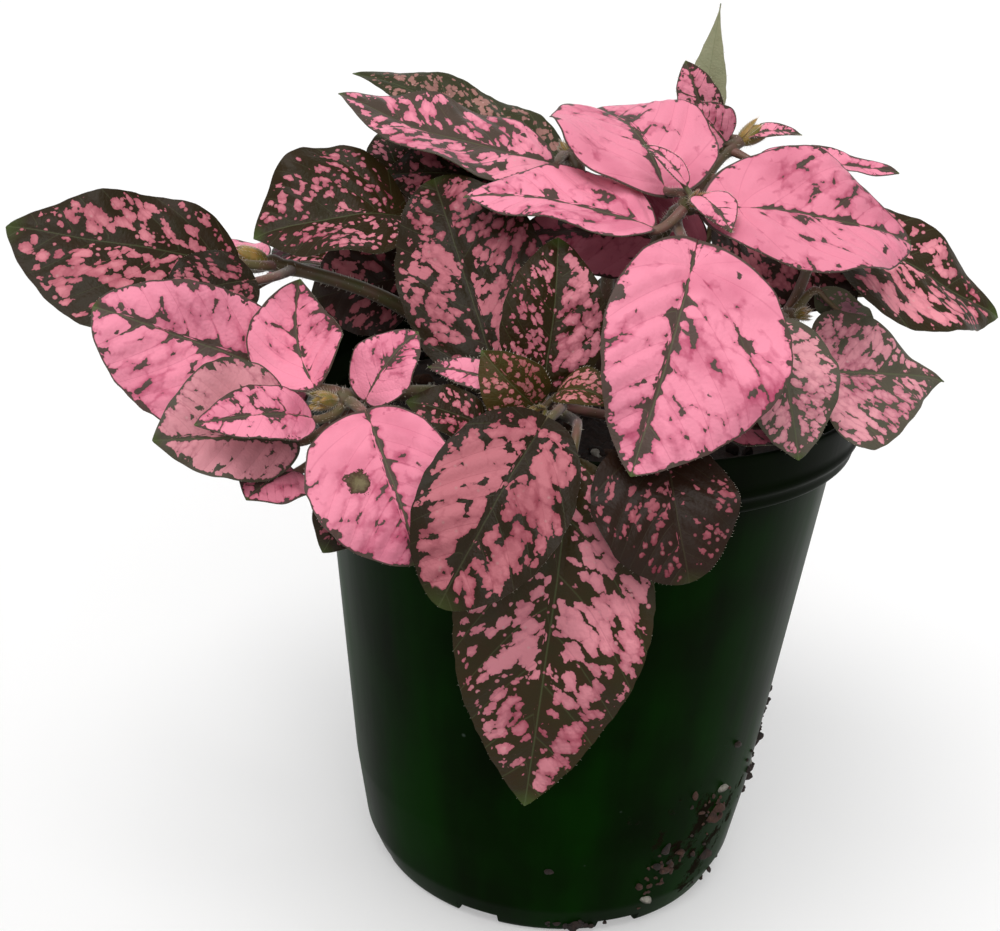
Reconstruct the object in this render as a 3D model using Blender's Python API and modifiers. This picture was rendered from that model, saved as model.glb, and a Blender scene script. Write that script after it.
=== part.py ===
"""A polka dot plant in a nursery pot: pot, soil, leafy stems and leaves.

Millimetres are used in the tables; every solid is built in metres with
+Z up, the pot's axis on Z and its underside at Z = 0. The photo's camera
looks along +Y, so the front of the plant is at -Y.
"""
import math

import bmesh
import bpy
import numpy as np
from mathutils import Matrix, Vector

MM = 0.001
GAP = 0.3

# Pot
POT_STEPS = 48
POT_HEIGHT = 108.0
RIM_RADIUS = 54.7
RIM_LIP = 1.2
COLLAR_BOTTOM = 97.0
BEAD_Z = 100.4
BEAD_RISE = 0.5
NECK_RADIUS = 50.2
KNEE_RADIUS = 41.8
KNEE_Z = 22.0
HEEL_RADIUS = 39.2
HEEL_Z = 7.0
FOOT_RADIUS = 36.0
WALL = 1.4
FLOOR = 2.0
NOTCHES = 8
NOTCH_WIDTH = 9.0
NOTCH_HEIGHT = 3.0
NOTCH_REACH = 9.0
NOTCH_INSET = 1.5

# Soil
SOIL_STEPS = 36
SOIL_TOP = 96.0
SOIL_BUMP = 1.3
SOIL_RINGS = (0.2, 0.4, 0.6, 0.8, 1.0)
HOLE_DEPTH = 12.0
HOLE_SIDES = 12

# Stems
STEM_RADIUS = 1.6
STEM_TOP_RADIUS = 1.25
STEM_POINTS = 9
BUD_WIDTH = 3.4
BUD_HEIGHT = 6.0

# Leaves
BLADE = 0.7
PETIOLE_RADIUS = 0.95
PETIOLE_CLEAR = 0.5
YOUNG_RADIUS = 0.8
YOUNG_STATIONS = (0.0, 0.12, 0.35, 0.6, 0.85, 1.0)
YOUNG_COLUMNS = (-1.0, 0.0, 1.0)
PETIOLE_STATIONS = (0.0, 0.5)
BLADE_STATIONS = (0.0, 0.07, 0.18, 0.32, 0.48, 0.64, 0.8, 0.92, 1.0)
COLUMNS = (-1.0, -0.52, 0.0, 0.52, 1.0)
WAVES = 2.0
ROUND_FORM = (0.50, 0.62)
OVATE_FORM = (0.55, 0.85)
WIDE_FORM = (0.42, 1.0)
LONG_FORM = (0.62, 0.95)
SPIKE_FORM = (0.5, 1.6)
WEDGE_FORM = (0.4, 1.4)

# Stem rows: name, foot in the soil (x, y), tip (x, y, z), side bow
STEMS = {
    "stem_a": ((-18, -20), (-43, -43, 112), 6),
    "stem_b": ((-2, -16), (-8, -40, 111), 4),
    "stem_c": ((9, -6), (16, -20, 144), 5),
    "stem_d": ((16, 8), (28, 15, 149), 4),
    "stem_e": ((-24, -2), (-60, -9, 126), 8),
    "stem_f": ((-14, 4), (-36, -1, 133), 6),
    "stem_g": ((-3, 10), (-5, 13, 145), 4),
    "stem_h": ((-15, 20), (-35, 35, 122), 6),
    "stem_i": ((5, 24), (7, 43, 128), 6),
    "stem_j": ((24, 20), (42, 32, 122), 6),
    "stem_k": ((25, -10), (36.5, -20.5, 125), 6),
}

# Leaf rows: stem, height on it, blade base, blade tip, width, the way the
# face looks, arch, side bend, fold, skew, wave, heart, form, colour
LEAVES = {
    "leaf_left_far": (
        "stem_e", 0.967, (-65.2, -15.4, 127.6), (-103, -25, 134), 31.5,
        (-0.2, -0.7, 0.7), 3, -2, 8, -0.31, 1.0, 0.1, OVATE_FORM, "dark"),
    "leaf_left_big": (
        "stem_a", 0.907, (-50.3, -34.1, 111.9), (-84.3, -40, 125), 25.5,
        (-0.1, -0.85, 0.5), 2, 0, 6, -0.2, 0.8, 0.2, ROUND_FORM, "pink"),
    "leaf_left_low": (
        "stem_a", 0.933, (-49.9, -50.3, 107.1), (-70, -61, 110), 21.5,
        (-0.1, -0.8, 0.6), 1, 0, 6, 0.28, 0.8, 0.2, OVATE_FORM, "pink"),
    "leaf_left_small": (
        "stem_a", 0.977, (-46.2, -49.3, 111), (-63.1, -62, 113.3), 11,
        (0, -0.7, 0.7), 2, 0, 10, 0, 0.4, 0.1, OVATE_FORM, "pink"),
    "leaf_left_up": (
        "stem_a", 0.952, (-47.1, -43, 115), (-50.4, -34, 130.1), 18,
        (0, -0.95, 0.3), -2, -2, 26, 0, 0.5, 0.2, OVATE_FORM, "pink"),
    "leaf_left_right": (
        "stem_a", 0.846, (-37.9, -43.9, 112.7), (-29.8, -38.6, 123.5), 12,
        (-0.3, -0.8, 0.5), 2, 0, 10, 0, 0.5, 0.1, OVATE_FORM, "pink"),
    "leaf_front_left": (
        "stem_a", 0.935, (-36.3, -52.6, 112.2), (-26.6, -67.5, 94), 24,
        (0.1, -0.8, 0.55), 3, 0, 6, 0.15, 0.6, 0.25, ROUND_FORM, "pink"),
    "leaf_behind_small": (
        "stem_b", 0.74, (-18, -45.5, 110), (-31, -45.8, 113.5), 10,
        (0, -0.6, 0.8), 1, 0, 8, 0, 0.5, 0.1, OVATE_FORM, "dark"),
    "leaf_front_round": (
        "stem_b", 0.94, (-9, -58, 114), (-23, -74, 90), 24,
        (-0.1, -0.9, 0.4), 3, 0, 8, 0, 0.8, 0.3, ROUND_FORM, "dark"),
    "leaf_front_big": (
        "stem_b", 0.78, (-3, -57, 110), (-7, -62, 46.5), 33,
        (0, -1, 0.1), 3, 0, 8, 0, 1.0, 0.0, LONG_FORM, "dark"),
    "leaf_front_right": (
        "stem_b", 0.70, (12.5, -53, 110), (16.7, -66, 92.9), 24,
        (0.1, -0.8, 0.5), 3, 1, 6, 0.15, 1.2, 0.2, ROUND_FORM, "dark"),
    "leaf_heart": (
        "stem_c", 0.86, (15, -38, 137), (6, -62, 109), 31.5,
        (0.1, -0.85, 0.5), 3, 0, 6, -0.24, 1.0, 0.45, OVATE_FORM, "pink"),
    "leaf_centre_back": (
        "stem_b", 0.86, (-16, -33, 114), (-30, -6, 143), 27,
        (-0.1, -0.8, 0.55), 2, 0, 6, 0.1, 1.0, 0.2, ROUND_FORM, "dark"),
    "leaf_centre_half": (
        "stem_b", 0.93, (-8, -36, 115), (-7, -26, 138), 19,
        (0.2, -0.95, 0.3), 2, 0, 10, 0, 0.6, 0.2, OVATE_FORM, "dark"),
    "leaf_centre_flat": (
        "stem_c", 0.97, (9, -22, 140), (-24, -17, 142), 22,
        (0, -0.25, 0.97), 2, 0, 6, 0.1, 0.8, 0.1, OVATE_FORM, "pink"),
    "leaf_top": (
        "stem_c", 0.97, (11.5, -12, 145.5), (-0.5, 12, 154.4), 32,
        (0.08, -0.25, 0.95), 3, 0, 8, -0.05, 1.0, 0.2, ROUND_FORM, "pink"),
    "leaf_right_big": (
        "stem_c", 0.97, (24, -21, 144), (56, -16, 138), 31,
        (0.19, -0.48, 0.85), 3, 1, 6, 0, 1.0, 0.45, OVATE_FORM, "pink"),
    "leaf_upper_left": (
        "stem_g", 0.97, (-9, 4, 145), (-49, 6, 155), 25,
        (0.2, -0.3, 0.93), -1, -1, 8, -0.05, 1.0, 0.1, OVATE_FORM, "pink"),
    "leaf_back_top": (
        "stem_g", 0.962, (-6.5, 19, 143.3), (-49.2, 33, 155.4), 14.5,
        (0.1, -0.4, 0.9), 1, 0, 6, 0.2, 0.8, 0.1, OVATE_FORM, "dark"),
    "leaf_right_back": (
        "stem_d", 0.93, (31.5, 10.5, 146.8), (59, 13, 145), 8.5,
        (0, -0.4, 0.9), 1, 0, 8, 0, 0.5, 0.1, OVATE_FORM, "pink"),
    "leaf_right_far": (
        "stem_k", 0.88, (48, -1, 135), (79.9, 4, 119.9), 30,
        (0.5, -0.5, 0.7), 2, 1, 8, 0.2, 1.0, 0.2, WIDE_FORM, "dark"),
    "leaf_right_front": (
        "stem_k", 0.93, (30, -35, 127), (35, -48, 108), 18,
        (0.1, -0.85, 0.5), 2, 0, 6, 0, 0.8, 0.2, OVATE_FORM, "pink"),
    "leaf_right_low": (
        "stem_k", 0.86, (39.3, -29.2, 117), (64.1, -22, 114.7), 29,
        (0.3, -0.6, 0.77), 2, 0, 6, 0.14, 0.8, 0, WEDGE_FORM, "pink"),
    "leaf_shade_right": (
        "stem_k", 0.70, (21, -40, 111), (37, -42, 109), 10,
        (0.1, -0.4, 0.9), 1, 0, 6, 0, 0.5, 0.1, OVATE_FORM, "pink"),
    "leaf_turned_right": (
        "stem_k", 0.959, (41.2, -16.3, 128.9), (52.5, -13.3, 121.2), 9,
        (0.2, 0.7, 0.6), -1, 0, 6, 0, 0.5, 0.1, OVATE_FORM, "dark"),
    "leaf_left_cupped": (
        "stem_f", 0.97, (-38, -4, 135), (-62, -12, 131), 29,
        (-0.1, -0.57, 0.8), 2, 0, 16, 0.1, 1.2, 0.3, OVATE_FORM, "dark"),
    "leaf_left_behind": (
        "stem_f", 0.943, (-36, 7.1, 137.1), (-41.7, 16, 146.5), 12,
        (0, -0.4, 0.9), 1, 0, 6, 0, 0.5, 0.1, OVATE_FORM, "dark"),
    "leaf_left_shade": (
        "stem_e", 0.882, (-61, -23, 126.3), (-75, -31.5, 123.5), 15,
        (-0.1, -0.75, 0.65), 1, 0, 6, 0, 0.6, 0.2, OVATE_FORM, "dark"),
    "leaf_left_under": (
        "stem_a", 0.86, (-49, -51, 102), (-55.3, -60, 100.1), 14,
        (0, -0.5, 0.85), 1, 0, 6, 0, 0.5, 0.1, OVATE_FORM, "pink"),
    "leaf_left_tuck": (
        "stem_a", 0.80, (-35, -55, 105), (-42.4, -64, 93.4), 13,
        (0, -0.9, 0.4), 1, 0, 6, 0, 0.5, 0.1, OVATE_FORM, "dark"),
    "leaf_inner_left": (
        "stem_f", 0.80, (-35, 8, 120), (-54, 8, 114), 21,
        (0, -0.9, 0.45), 2, 0, 8, 0, 0.6, 0.1, OVATE_FORM, "dark"),
    "leaf_inner_middle": (
        "stem_d", 0.7, (21.2, 5.4, 130.6), (-14.3, 3.9, 130.9), 21,
        (0, -0.8, 0.6), 3, 0, 8, 0, 0.8, 0.2, OVATE_FORM, "pink"),
    "leaf_inner_right": (
        "stem_d", 0.76, (24.9, 5.7, 136.1), (52, 2, 122), 24,
        (0, -0.8, 0.6), 2, 0, 8, 0, 0.6, 0.1, OVATE_FORM, "dark"),
    "leaf_inner_back": (
        "stem_g", 0.887, (-11.6, 7.2, 139.5), (-40.1, 6.1, 140.2), 21,
        (0, -0.7, 0.7), 2, 0, 8, 0, 0.6, 0.1, OVATE_FORM, "dark"),
    "leaf_back_long": (
        "stem_i", 0.97, (7, 52, 126), (3, 80, 108), 27,
        (0, 0.6, 0.8), 4, 0, 8, 0, 1.0, 0.2, OVATE_FORM, "pink"),
    "leaf_back_right": (
        "stem_i", 0.97, (15, 43, 130), (38, 50, 123), 22,
        (0.3, 0.2, 0.9), 3, 0, 8, 0, 0.8, 0.2, OVATE_FORM, "dark"),
    "leaf_back_left": (
        "stem_i", 0.97, (-3, 44, 129), (-28, 52, 124), 23,
        (-0.2, 0.3, 0.9), 3, 0, 8, 0, 0.8, 0.2, OVATE_FORM, "pink"),
    "leaf_back_inner": (
        "stem_i", 0.97, (6, 37, 131), (4, 20, 137), 16,
        (0, 0.3, 0.9), 2, 0, 10, 0, 0.6, 0.1, OVATE_FORM, "pink"),
    "leaf_rear_left": (
        "stem_h", 0.97, (-43, 38, 120), (-66, 50, 109), 24,
        (-0.4, 0.5, 0.8), 3, 0, 8, 0, 1.0, 0.2, ROUND_FORM, "pink"),
    "leaf_rear_middle": (
        "stem_h", 0.97, (-32, 44, 118), (-26, 74, 102), 25,
        (0, 0.6, 0.8), 3, 0, 8, 0, 1.0, 0.2, OVATE_FORM, "dark"),
    "leaf_rear_side": (
        "stem_h", 0.86, (-43, 28, 117), (-72, 26, 108), 24,
        (-0.4, 0.1, 0.9), 3, 0, 8, 0, 0.8, 0.2, OVATE_FORM, "dark"),
    "leaf_left_rear": (
        "stem_e", 0.97, (-64, -4, 124), (-84, 12, 118), 20,
        (-0.3, 0.2, 0.9), 2, 0, 8, 0, 0.8, 0.2, OVATE_FORM, "pink"),
    "leaf_right_rear": (
        "stem_j", 0.966, (49.9, 34.5, 120.6), (70.6, 45.9, 109.1), 24,
        (0.4, 0.4, 0.8), 3, 0, 8, 0, 1.0, 0.2, ROUND_FORM, "dark"),
    "leaf_right_behind": (
        "stem_j", 0.97, (37, 41, 120), (38, 68, 106), 23,
        (0.1, 0.6, 0.8), 3, 0, 8, 0, 0.8, 0.2, OVATE_FORM, "pink"),
    "leaf_right_side": (
        "stem_j", 0.86, (50, 24, 117), (70.9, 22, 113.5), 23,
        (0.4, 0.1, 0.9), 3, 0, 8, 0, 0.8, 0.2, OVATE_FORM, "pink"),
    "leaf_rear_low": (
        "stem_i", 0.80, (14, 56, 110), (20, 68, 84), 25,
        (0.2, 0.9, 0.4), 3, 0, 6, 0, 0.8, 0.2, OVATE_FORM, "dark"),
    "leaf_rear_fall": (
        "stem_h", 0.80, (-18, 56, 110), (-14, 69, 86), 24,
        (0, 0.9, 0.4), 3, 0, 6, 0, 0.8, 0.2, OVATE_FORM, "pink"),
}

# Young leaves of a stem's tip: base, tip, width, face, arch, fold, form
YOUNG = {
    "stem_b": (
        ((-9, -41, 112), (-19, -42, 122), 12, (-0.3, -0.9, 0.4), 2, 12,
         LONG_FORM),
        ((-6, -41, 115), (4, -46, 115), 10, (0.1, -0.5, 0.9), 2, 12,
         LONG_FORM),
        ((-14, -40, 115.5), (-28, -37.5, 117), 6, (0, -0.7, 0.7), 1, 12,
         LONG_FORM),
    ),
    "stem_c": (
        ((17, -22, 146), (22, -31, 142), 8, (0.1, -0.6, 0.8), 1, 14,
         LONG_FORM),
        ((15, -20, 147), (7, -16, 153), 5, (0, -0.3, 0.9), 1, 14,
         LONG_FORM),
    ),
    "stem_d": (
        ((20.2, 16, 151), (22.2, 21, 173.9), 8.5, (-0.2, -0.9, 0.1), 0, 20,
         SPIKE_FORM),
        ((22, 14.5, 151), (16, 16, 163.5), 9, (-0.3, -0.9, 0.4), 1, 20,
         OVATE_FORM),
        ((25, 12, 149), (17, 11, 156), 10, (-0.3, -0.8, 0.6), 1, 14,
         LONG_FORM),
        ((29, 15, 150), (40, 16, 151), 5, (0, -0.4, 0.9), 1, 14,
         LONG_FORM),
    ),
}


def unit(vector):
    """The same way with length one."""
    vector = np.asarray(vector, float)
    return vector / np.linalg.norm(vector)


def bezier(points, t):
    """Point and direction on a Bezier curve of any degree."""
    work = [np.asarray(p, float) for p in points]
    direction = work[-1] - work[0]
    while len(work) > 1:
        if len(work) == 2:
            direction = work[1] - work[0]
        work = [a + (b - a) * t for a, b in zip(work[:-1], work[1:])]
    return work[0], unit(direction)


def stem_curve(name):
    """Four control points of a stem above the soil."""
    foot, tip, bow = STEMS[name]
    start = np.array([foot[0], foot[1], SOIL_TOP + 3.0])
    end = np.array(tip, float)
    rise = end[2] - start[2]
    out = unit([end[0] - start[0], end[1] - start[1], 0.0])
    first = start + np.array([0.0, 0.0, 0.45 * rise + bow])
    second = end - out * 0.25 * np.linalg.norm(end - start)
    second[2] = end[2] - 0.12 * rise
    return [start, first, second, end]


def stem_point(name, height):
    """Centre, direction and radius of a stem at a height from 0 to 1."""
    point, direction = bezier(stem_curve(name), height)
    radius = STEM_RADIUS + (STEM_TOP_RADIUS - STEM_RADIUS) * height
    return point, direction, radius


def width_share(form, u):
    """Half width of a blade as a share of the widest, along its length."""
    peak = form[0] / (form[0] + form[1])
    top = peak ** form[0] * (1.0 - peak) ** form[1]
    return u ** form[0] * (1.0 - u) ** form[1] / top


def carried(normal, along):
    """A normal carried along a curve to where it runs another way."""
    return unit(normal - along * np.dot(normal, along))


def midrib(base, tip, face, arch, bend):
    """Control points of a blade's midrib."""
    base = np.asarray(base, float)
    tip = np.asarray(tip, float)
    along = unit(tip - base)
    up = unit(np.asarray(face, float) - along * np.dot(face, along))
    side = np.cross(along, up)
    middle = 0.5 * (base + tip) + up * 2.0 * arch + side * 2.0 * bend
    return [base, middle, tip], up


def blade_surface(base, tip, width, face, arch, bend, fold, skew, wave,
                  heart, form, stations, columns):
    """Middle surface of a blade, its normals and its directions."""
    controls, up = midrib(base, tip, face, arch, bend)
    half = 0.5 * width
    rows = []
    frames = []
    for u in stations:
        point, along = bezier(controls, u)
        normal = carried(up, along)
        side = np.cross(along, normal)
        reach = max(half * width_share(form, u), 0.5)
        lean = math.radians(fold)
        row = []
        for v in columns:
            part = reach * (1.0 + skew * np.sign(v))
            across = v * part * math.cos(lean)
            lift = abs(v) * part * math.sin(lean)
            phase = 2.0 * math.pi * WAVES * u + (0.0 if v > 0 else 1.7)
            ripple = wave * abs(v) ** 1.5 * math.sin(phase)
            ripple *= math.sin(math.pi * min(max(u, 0.0), 1.0)) ** 0.5
            back = heart * half * abs(v) ** 1.6 * (1.0 - u) ** 3
            row.append(point + side * across + normal * (lift + ripple)
                       - along * back)
        rows.append(row)
        frames.append((point, along, side, normal))
    grid = np.array(rows)
    along_rows = np.gradient(grid, axis=0)
    along_columns = np.gradient(grid, axis=1)
    normals = np.cross(along_columns, along_rows)
    lengths = np.linalg.norm(normals, axis=2, keepdims=True)
    normals = normals / np.maximum(lengths, 1e-9)
    for i, frame in enumerate(frames):
        flip = np.sign(normals[i] @ frame[3])
        normals[i] *= np.where(flip == 0, 1.0, flip)[:, None]
    return grid, normals, frames


def blade_rings(blade, thick, stations, columns):
    """Closed rings round a blade: over the face and back underneath."""
    grid, normals, frames = blade_surface(
        *blade, stations=stations, columns=columns)
    rings = []
    for row, normal in zip(grid, normals):
        upper = row + normal * 0.5 * thick
        lower = row - normal * 0.5 * thick
        rings.append(np.vstack([upper, lower[::-1]]))
    return rings, frames


def tube_ring(point, side, normal, radius, count):
    """A ring round a petiole with as many points as a blade's ring."""
    ring = []
    for k in range(count):
        angle = math.pi - (k + 0.5) * 2.0 * math.pi / count
        ring.append(point + side * radius * math.cos(angle)
                    + normal * radius * math.sin(angle))
    return np.array(ring)


def leaf_rings(name):
    """All rings of a leaf, petiole first."""
    row = LEAVES[name]
    stem, height = row[0], row[1]
    base, tip, width, face = row[2:6]
    arch, bend, fold, skew, wave, heart, form = row[6:13]
    blade = (base, tip, width, face, arch, bend, fold, skew, wave, heart,
             form)
    rings, frames = blade_rings(blade, BLADE, BLADE_STATIONS, COLUMNS)
    foot, axis, radius = stem_point(stem, height)
    end, along, side, normal = frames[0]
    away = end - foot
    away = unit(away - axis * np.dot(away, axis))
    start = foot + away * (radius + PETIOLE_CLEAR + 0.35 * PETIOLE_RADIUS)
    leaving = unit(away + 0.4 * axis)
    reach = np.linalg.norm(end - start) / 3.0
    curve = [start, start + leaving * reach, end - along * reach, end]
    petiole = []
    count = 2 * len(COLUMNS)
    for t in PETIOLE_STATIONS:
        point, direction = bezier(curve, t)
        level = carried(normal, direction)
        across = np.cross(direction, level)
        petiole.append(tube_ring(point, across, level, PETIOLE_RADIUS,
                                 count))
    rings[0] = tube_ring(end, side, normal, PETIOLE_RADIUS, count)
    return petiole + rings


def young_rings(stem, row):
    """Rings of a young leaf, its root sunk in the stem's tip."""
    base, tip, width, face, arch, fold, form = row
    blade = (base, tip, width, face, arch, 0.0, fold, 0.0, 0.0, 0.0,
             form)
    rings, frames = blade_rings(blade, BLADE, YOUNG_STATIONS, YOUNG_COLUMNS)
    count = 2 * len(YOUNG_COLUMNS)
    end, along, side, normal = frames[0]
    rings[0] = tube_ring(end, side, normal, YOUNG_RADIUS, count)
    foot, axis, radius = stem_point(stem, 1.0)
    start = foot + axis * 0.6
    away = unit(end - start)
    level = carried(normal, away)
    root = tube_ring(start, np.cross(away, level), level, YOUNG_RADIUS,
                     count)
    return [root] + rings


def ring_faces(ring_count, size):
    """Triangles of a closed loft, split alike on face and underside."""
    faces = []
    half = size // 2
    for i in range(ring_count - 1):
        for k in range(size):
            a = i * size + k
            b = i * size + (k + 1) % size
            c = a + size
            d = b + size
            if k < half:
                faces += [(a, b, d), (a, d, c)]
            else:
                faces += [(a, b, c), (b, d, c)]
    last = (ring_count - 1) * size
    for k in range(half - 1):
        j = size - 1 - k
        faces += [(k, j, k + 1), (k + 1, j, j - 1)]
        faces += [(last + k, last + k + 1, last + j),
                  (last + k + 1, last + j - 1, last + j)]
    return faces


# Blender objects
def new_collection(name):
    """A collection linked to the scene."""
    collection = bpy.data.collections.new(name)
    bpy.context.scene.collection.children.link(collection)
    return collection


def new_material(name, colour, roughness):
    """A plain Principled material."""
    material = bpy.data.materials.new(name)
    material.use_nodes = True
    shader = material.node_tree.nodes["Principled BSDF"]
    shader.inputs["Base Color"].default_value = (*colour, 1.0)
    shader.inputs["Roughness"].default_value = roughness
    material.diffuse_color = (*colour, 1.0)
    return material


def clean(mesh):
    """Weld doubles, split into triangles and turn normals outward."""
    work = bmesh.new()
    work.from_mesh(mesh)
    bmesh.ops.remove_doubles(work, verts=work.verts, dist=2e-6)
    bmesh.ops.triangulate(work, faces=work.faces)
    bmesh.ops.recalc_face_normals(work, faces=work.faces)
    work.to_mesh(mesh)
    work.free()


def mesh_object(name, vertices, faces, collection):
    """An object from points in millimetres and faces."""
    mesh = bpy.data.meshes.new(name)
    points = [tuple(float(c) * MM for c in v) for v in vertices]
    mesh.from_pydata(points, [], faces)
    clean(mesh)
    item = bpy.data.objects.new(name, mesh)
    collection.objects.link(item)
    return item


def applied(item):
    """The object with its modifiers made part of its mesh."""
    depsgraph = bpy.context.evaluated_depsgraph_get()
    shape = item.evaluated_get(depsgraph)
    mesh = bpy.data.meshes.new_from_object(shape, depsgraph=depsgraph)
    name = item.name
    collection = item.users_collection[0]
    bpy.data.objects.remove(item)
    mesh.name = name
    clean(mesh)
    made = bpy.data.objects.new(name, mesh)
    collection.objects.link(made)
    return made


def turned(name, profile, steps, collection):
    """A solid turned about Z from a profile in millimetres."""
    points = [(r * MM, 0.0, z * MM) for r, z in profile]
    edges = [(i, i + 1) for i in range(len(points) - 1)]
    mesh = bpy.data.meshes.new(name)
    mesh.from_pydata(points, edges, [])
    item = bpy.data.objects.new(name, mesh)
    collection.objects.link(item)
    screw = item.modifiers.new("turn", "SCREW")
    screw.axis = "Z"
    screw.steps = steps
    screw.render_steps = steps
    screw.use_merge_vertices = True
    screw.merge_threshold = 0.00005
    return applied(item)


def joined(item, tools, operation, solver):
    """A Boolean with a collection's objects, which are then removed."""
    step = item.modifiers.new("join", "BOOLEAN")
    step.operation = operation
    step.operand_type = "COLLECTION"
    step.collection = tools
    step.solver = solver
    made = applied(item)
    for tool in list(tools.objects):
        bpy.data.objects.remove(tool)
    return made


def wall_radius(z):
    """Outer radius of the pot's wall below the collar."""
    corners = ((0.0, FOOT_RADIUS), (HEEL_Z, HEEL_RADIUS),
               (KNEE_Z, KNEE_RADIUS), (COLLAR_BOTTOM, NECK_RADIUS))
    for (z0, r0), (z1, r1) in zip(corners[:-1], corners[1:]):
        if z <= z1:
            return r0 + (r1 - r0) * (z - z0) / (z1 - z0)
    return NECK_RADIUS


def pot_profile():
    """Inner side upward, over the rim, then the outer side down."""
    inner = [(0.0, FLOOR),
             (wall_radius(FLOOR) - WALL, FLOOR),
             (HEEL_RADIUS - WALL, HEEL_Z),
             (KNEE_RADIUS - WALL, KNEE_Z),
             (NECK_RADIUS - WALL, COLLAR_BOTTOM),
             (RIM_RADIUS - 1.4 - WALL, COLLAR_BOTTOM + 2.2),
             (RIM_RADIUS - WALL, POT_HEIGHT - 0.6)]
    rim = [(RIM_RADIUS - 0.8 * WALL, POT_HEIGHT),
           (RIM_RADIUS - 0.3, POT_HEIGHT),
           (RIM_RADIUS, POT_HEIGHT - 0.6)]
    bead = [(RIM_RADIUS - 0.7, BEAD_Z + 1.0),
            (RIM_RADIUS - 0.8 + BEAD_RISE, BEAD_Z + 0.4),
            (RIM_RADIUS - 0.9 + BEAD_RISE, BEAD_Z - 0.4),
            (RIM_RADIUS - 1.1, BEAD_Z - 1.0)]
    outer = [(RIM_RADIUS - RIM_LIP, COLLAR_BOTTOM),
             (NECK_RADIUS, COLLAR_BOTTOM - 0.6),
             (KNEE_RADIUS, KNEE_Z),
             (HEEL_RADIUS, HEEL_Z),
             (FOOT_RADIUS + 0.5, 1.0),
             (FOOT_RADIUS - 0.6, 0.0),
             (0.0, 0.0)]
    return inner + rim + bead + outer


def build_pot(parts, cutters):
    """The pot with its drainage notches round the base's corner."""
    pot = turned("pot", pot_profile(), POT_STEPS, parts)
    for k in range(NOTCHES):
        angle = 2.0 * math.pi * (k + 0.5) / NOTCHES
        bpy.ops.mesh.primitive_cube_add(size=1.0)
        box = bpy.context.active_object
        box.name = "notch_%d" % k
        middle = (FOOT_RADIUS - NOTCH_INSET) * MM
        place = Matrix.Rotation(angle, 4, "Z")
        place = place @ Matrix.Translation((middle, 0.0, 0.0))
        size = (NOTCH_REACH * MM, NOTCH_WIDTH * MM,
                2.0 * NOTCH_HEIGHT * MM)
        place = place @ Matrix.Diagonal((*size, 1.0))
        box.data.transform(place)
        for owner in list(box.users_collection):
            owner.objects.unlink(box)
        cutters.objects.link(box)
        box.hide_render = True
        box.display_type = "WIRE"
    return joined(pot, cutters, "DIFFERENCE", "EXACT")


def soil_bump(x, y):
    """Height of the loose soil's surface above its level."""
    return SOIL_BUMP * (
        0.5 * math.sin(0.21 * x + 0.6) * math.cos(0.17 * y)
        + 0.3 * math.sin(0.43 * y - 0.29 * x)
        + 0.2 * math.cos(0.61 * x + 0.37 * y))


def build_soil(parts, cutters):
    """Soil filling the pot, with a plain hole for each stem."""
    side = [wall_radius(z) - WALL - GAP
            for z in (SOIL_TOP - 2.0, KNEE_Z, HEEL_Z, FLOOR + GAP)]
    profile = [(0.0, SOIL_TOP)]
    profile += [(side[0] * share, SOIL_TOP - 2.0 * share ** 8)
                for share in SOIL_RINGS]
    profile += [(side[1], KNEE_Z), (side[2], HEEL_Z + GAP),
                (side[3], FLOOR + GAP), (0.0, FLOOR + GAP)]
    soil = turned("soil", profile, POT_STEPS, parts)
    for vertex in soil.data.vertices:
        x, y, z = (c / MM for c in vertex.co)
        level = max(0.0, 1.0 - (math.hypot(x, y) / side[0]) ** 6)
        if z > SOIL_TOP - 1.5:
            vertex.co.z += soil_bump(x, y) * level * MM
    radius = (STEM_RADIUS + GAP) / math.cos(math.pi / HOLE_SIDES)
    for name, row in STEMS.items():
        bpy.ops.mesh.primitive_cylinder_add(
            vertices=HOLE_SIDES, radius=radius * MM,
            depth=2.0 * HOLE_DEPTH * MM,
            location=(row[0][0] * MM, row[0][1] * MM, SOIL_TOP * MM))
        tool = bpy.context.active_object
        tool.name = "hole_" + name
        for owner in list(tool.users_collection):
            owner.objects.unlink(tool)
        cutters.objects.link(tool)
        tool.hide_render = True
        tool.display_type = "WIRE"
    return joined(soil, cutters, "DIFFERENCE", "EXACT")


def stem_path(name):
    """Points and radii of a stem from its hole to its tip."""
    foot = STEMS[name][0]
    low = SOIL_TOP - HOLE_DEPTH + GAP
    path = [(np.array([foot[0], foot[1], low], float), STEM_RADIUS)]
    for k in range(STEM_POINTS):
        point, along, radius = stem_point(name, k / (STEM_POINTS - 1.0))
        path.append((point, radius))
    return path


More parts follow.
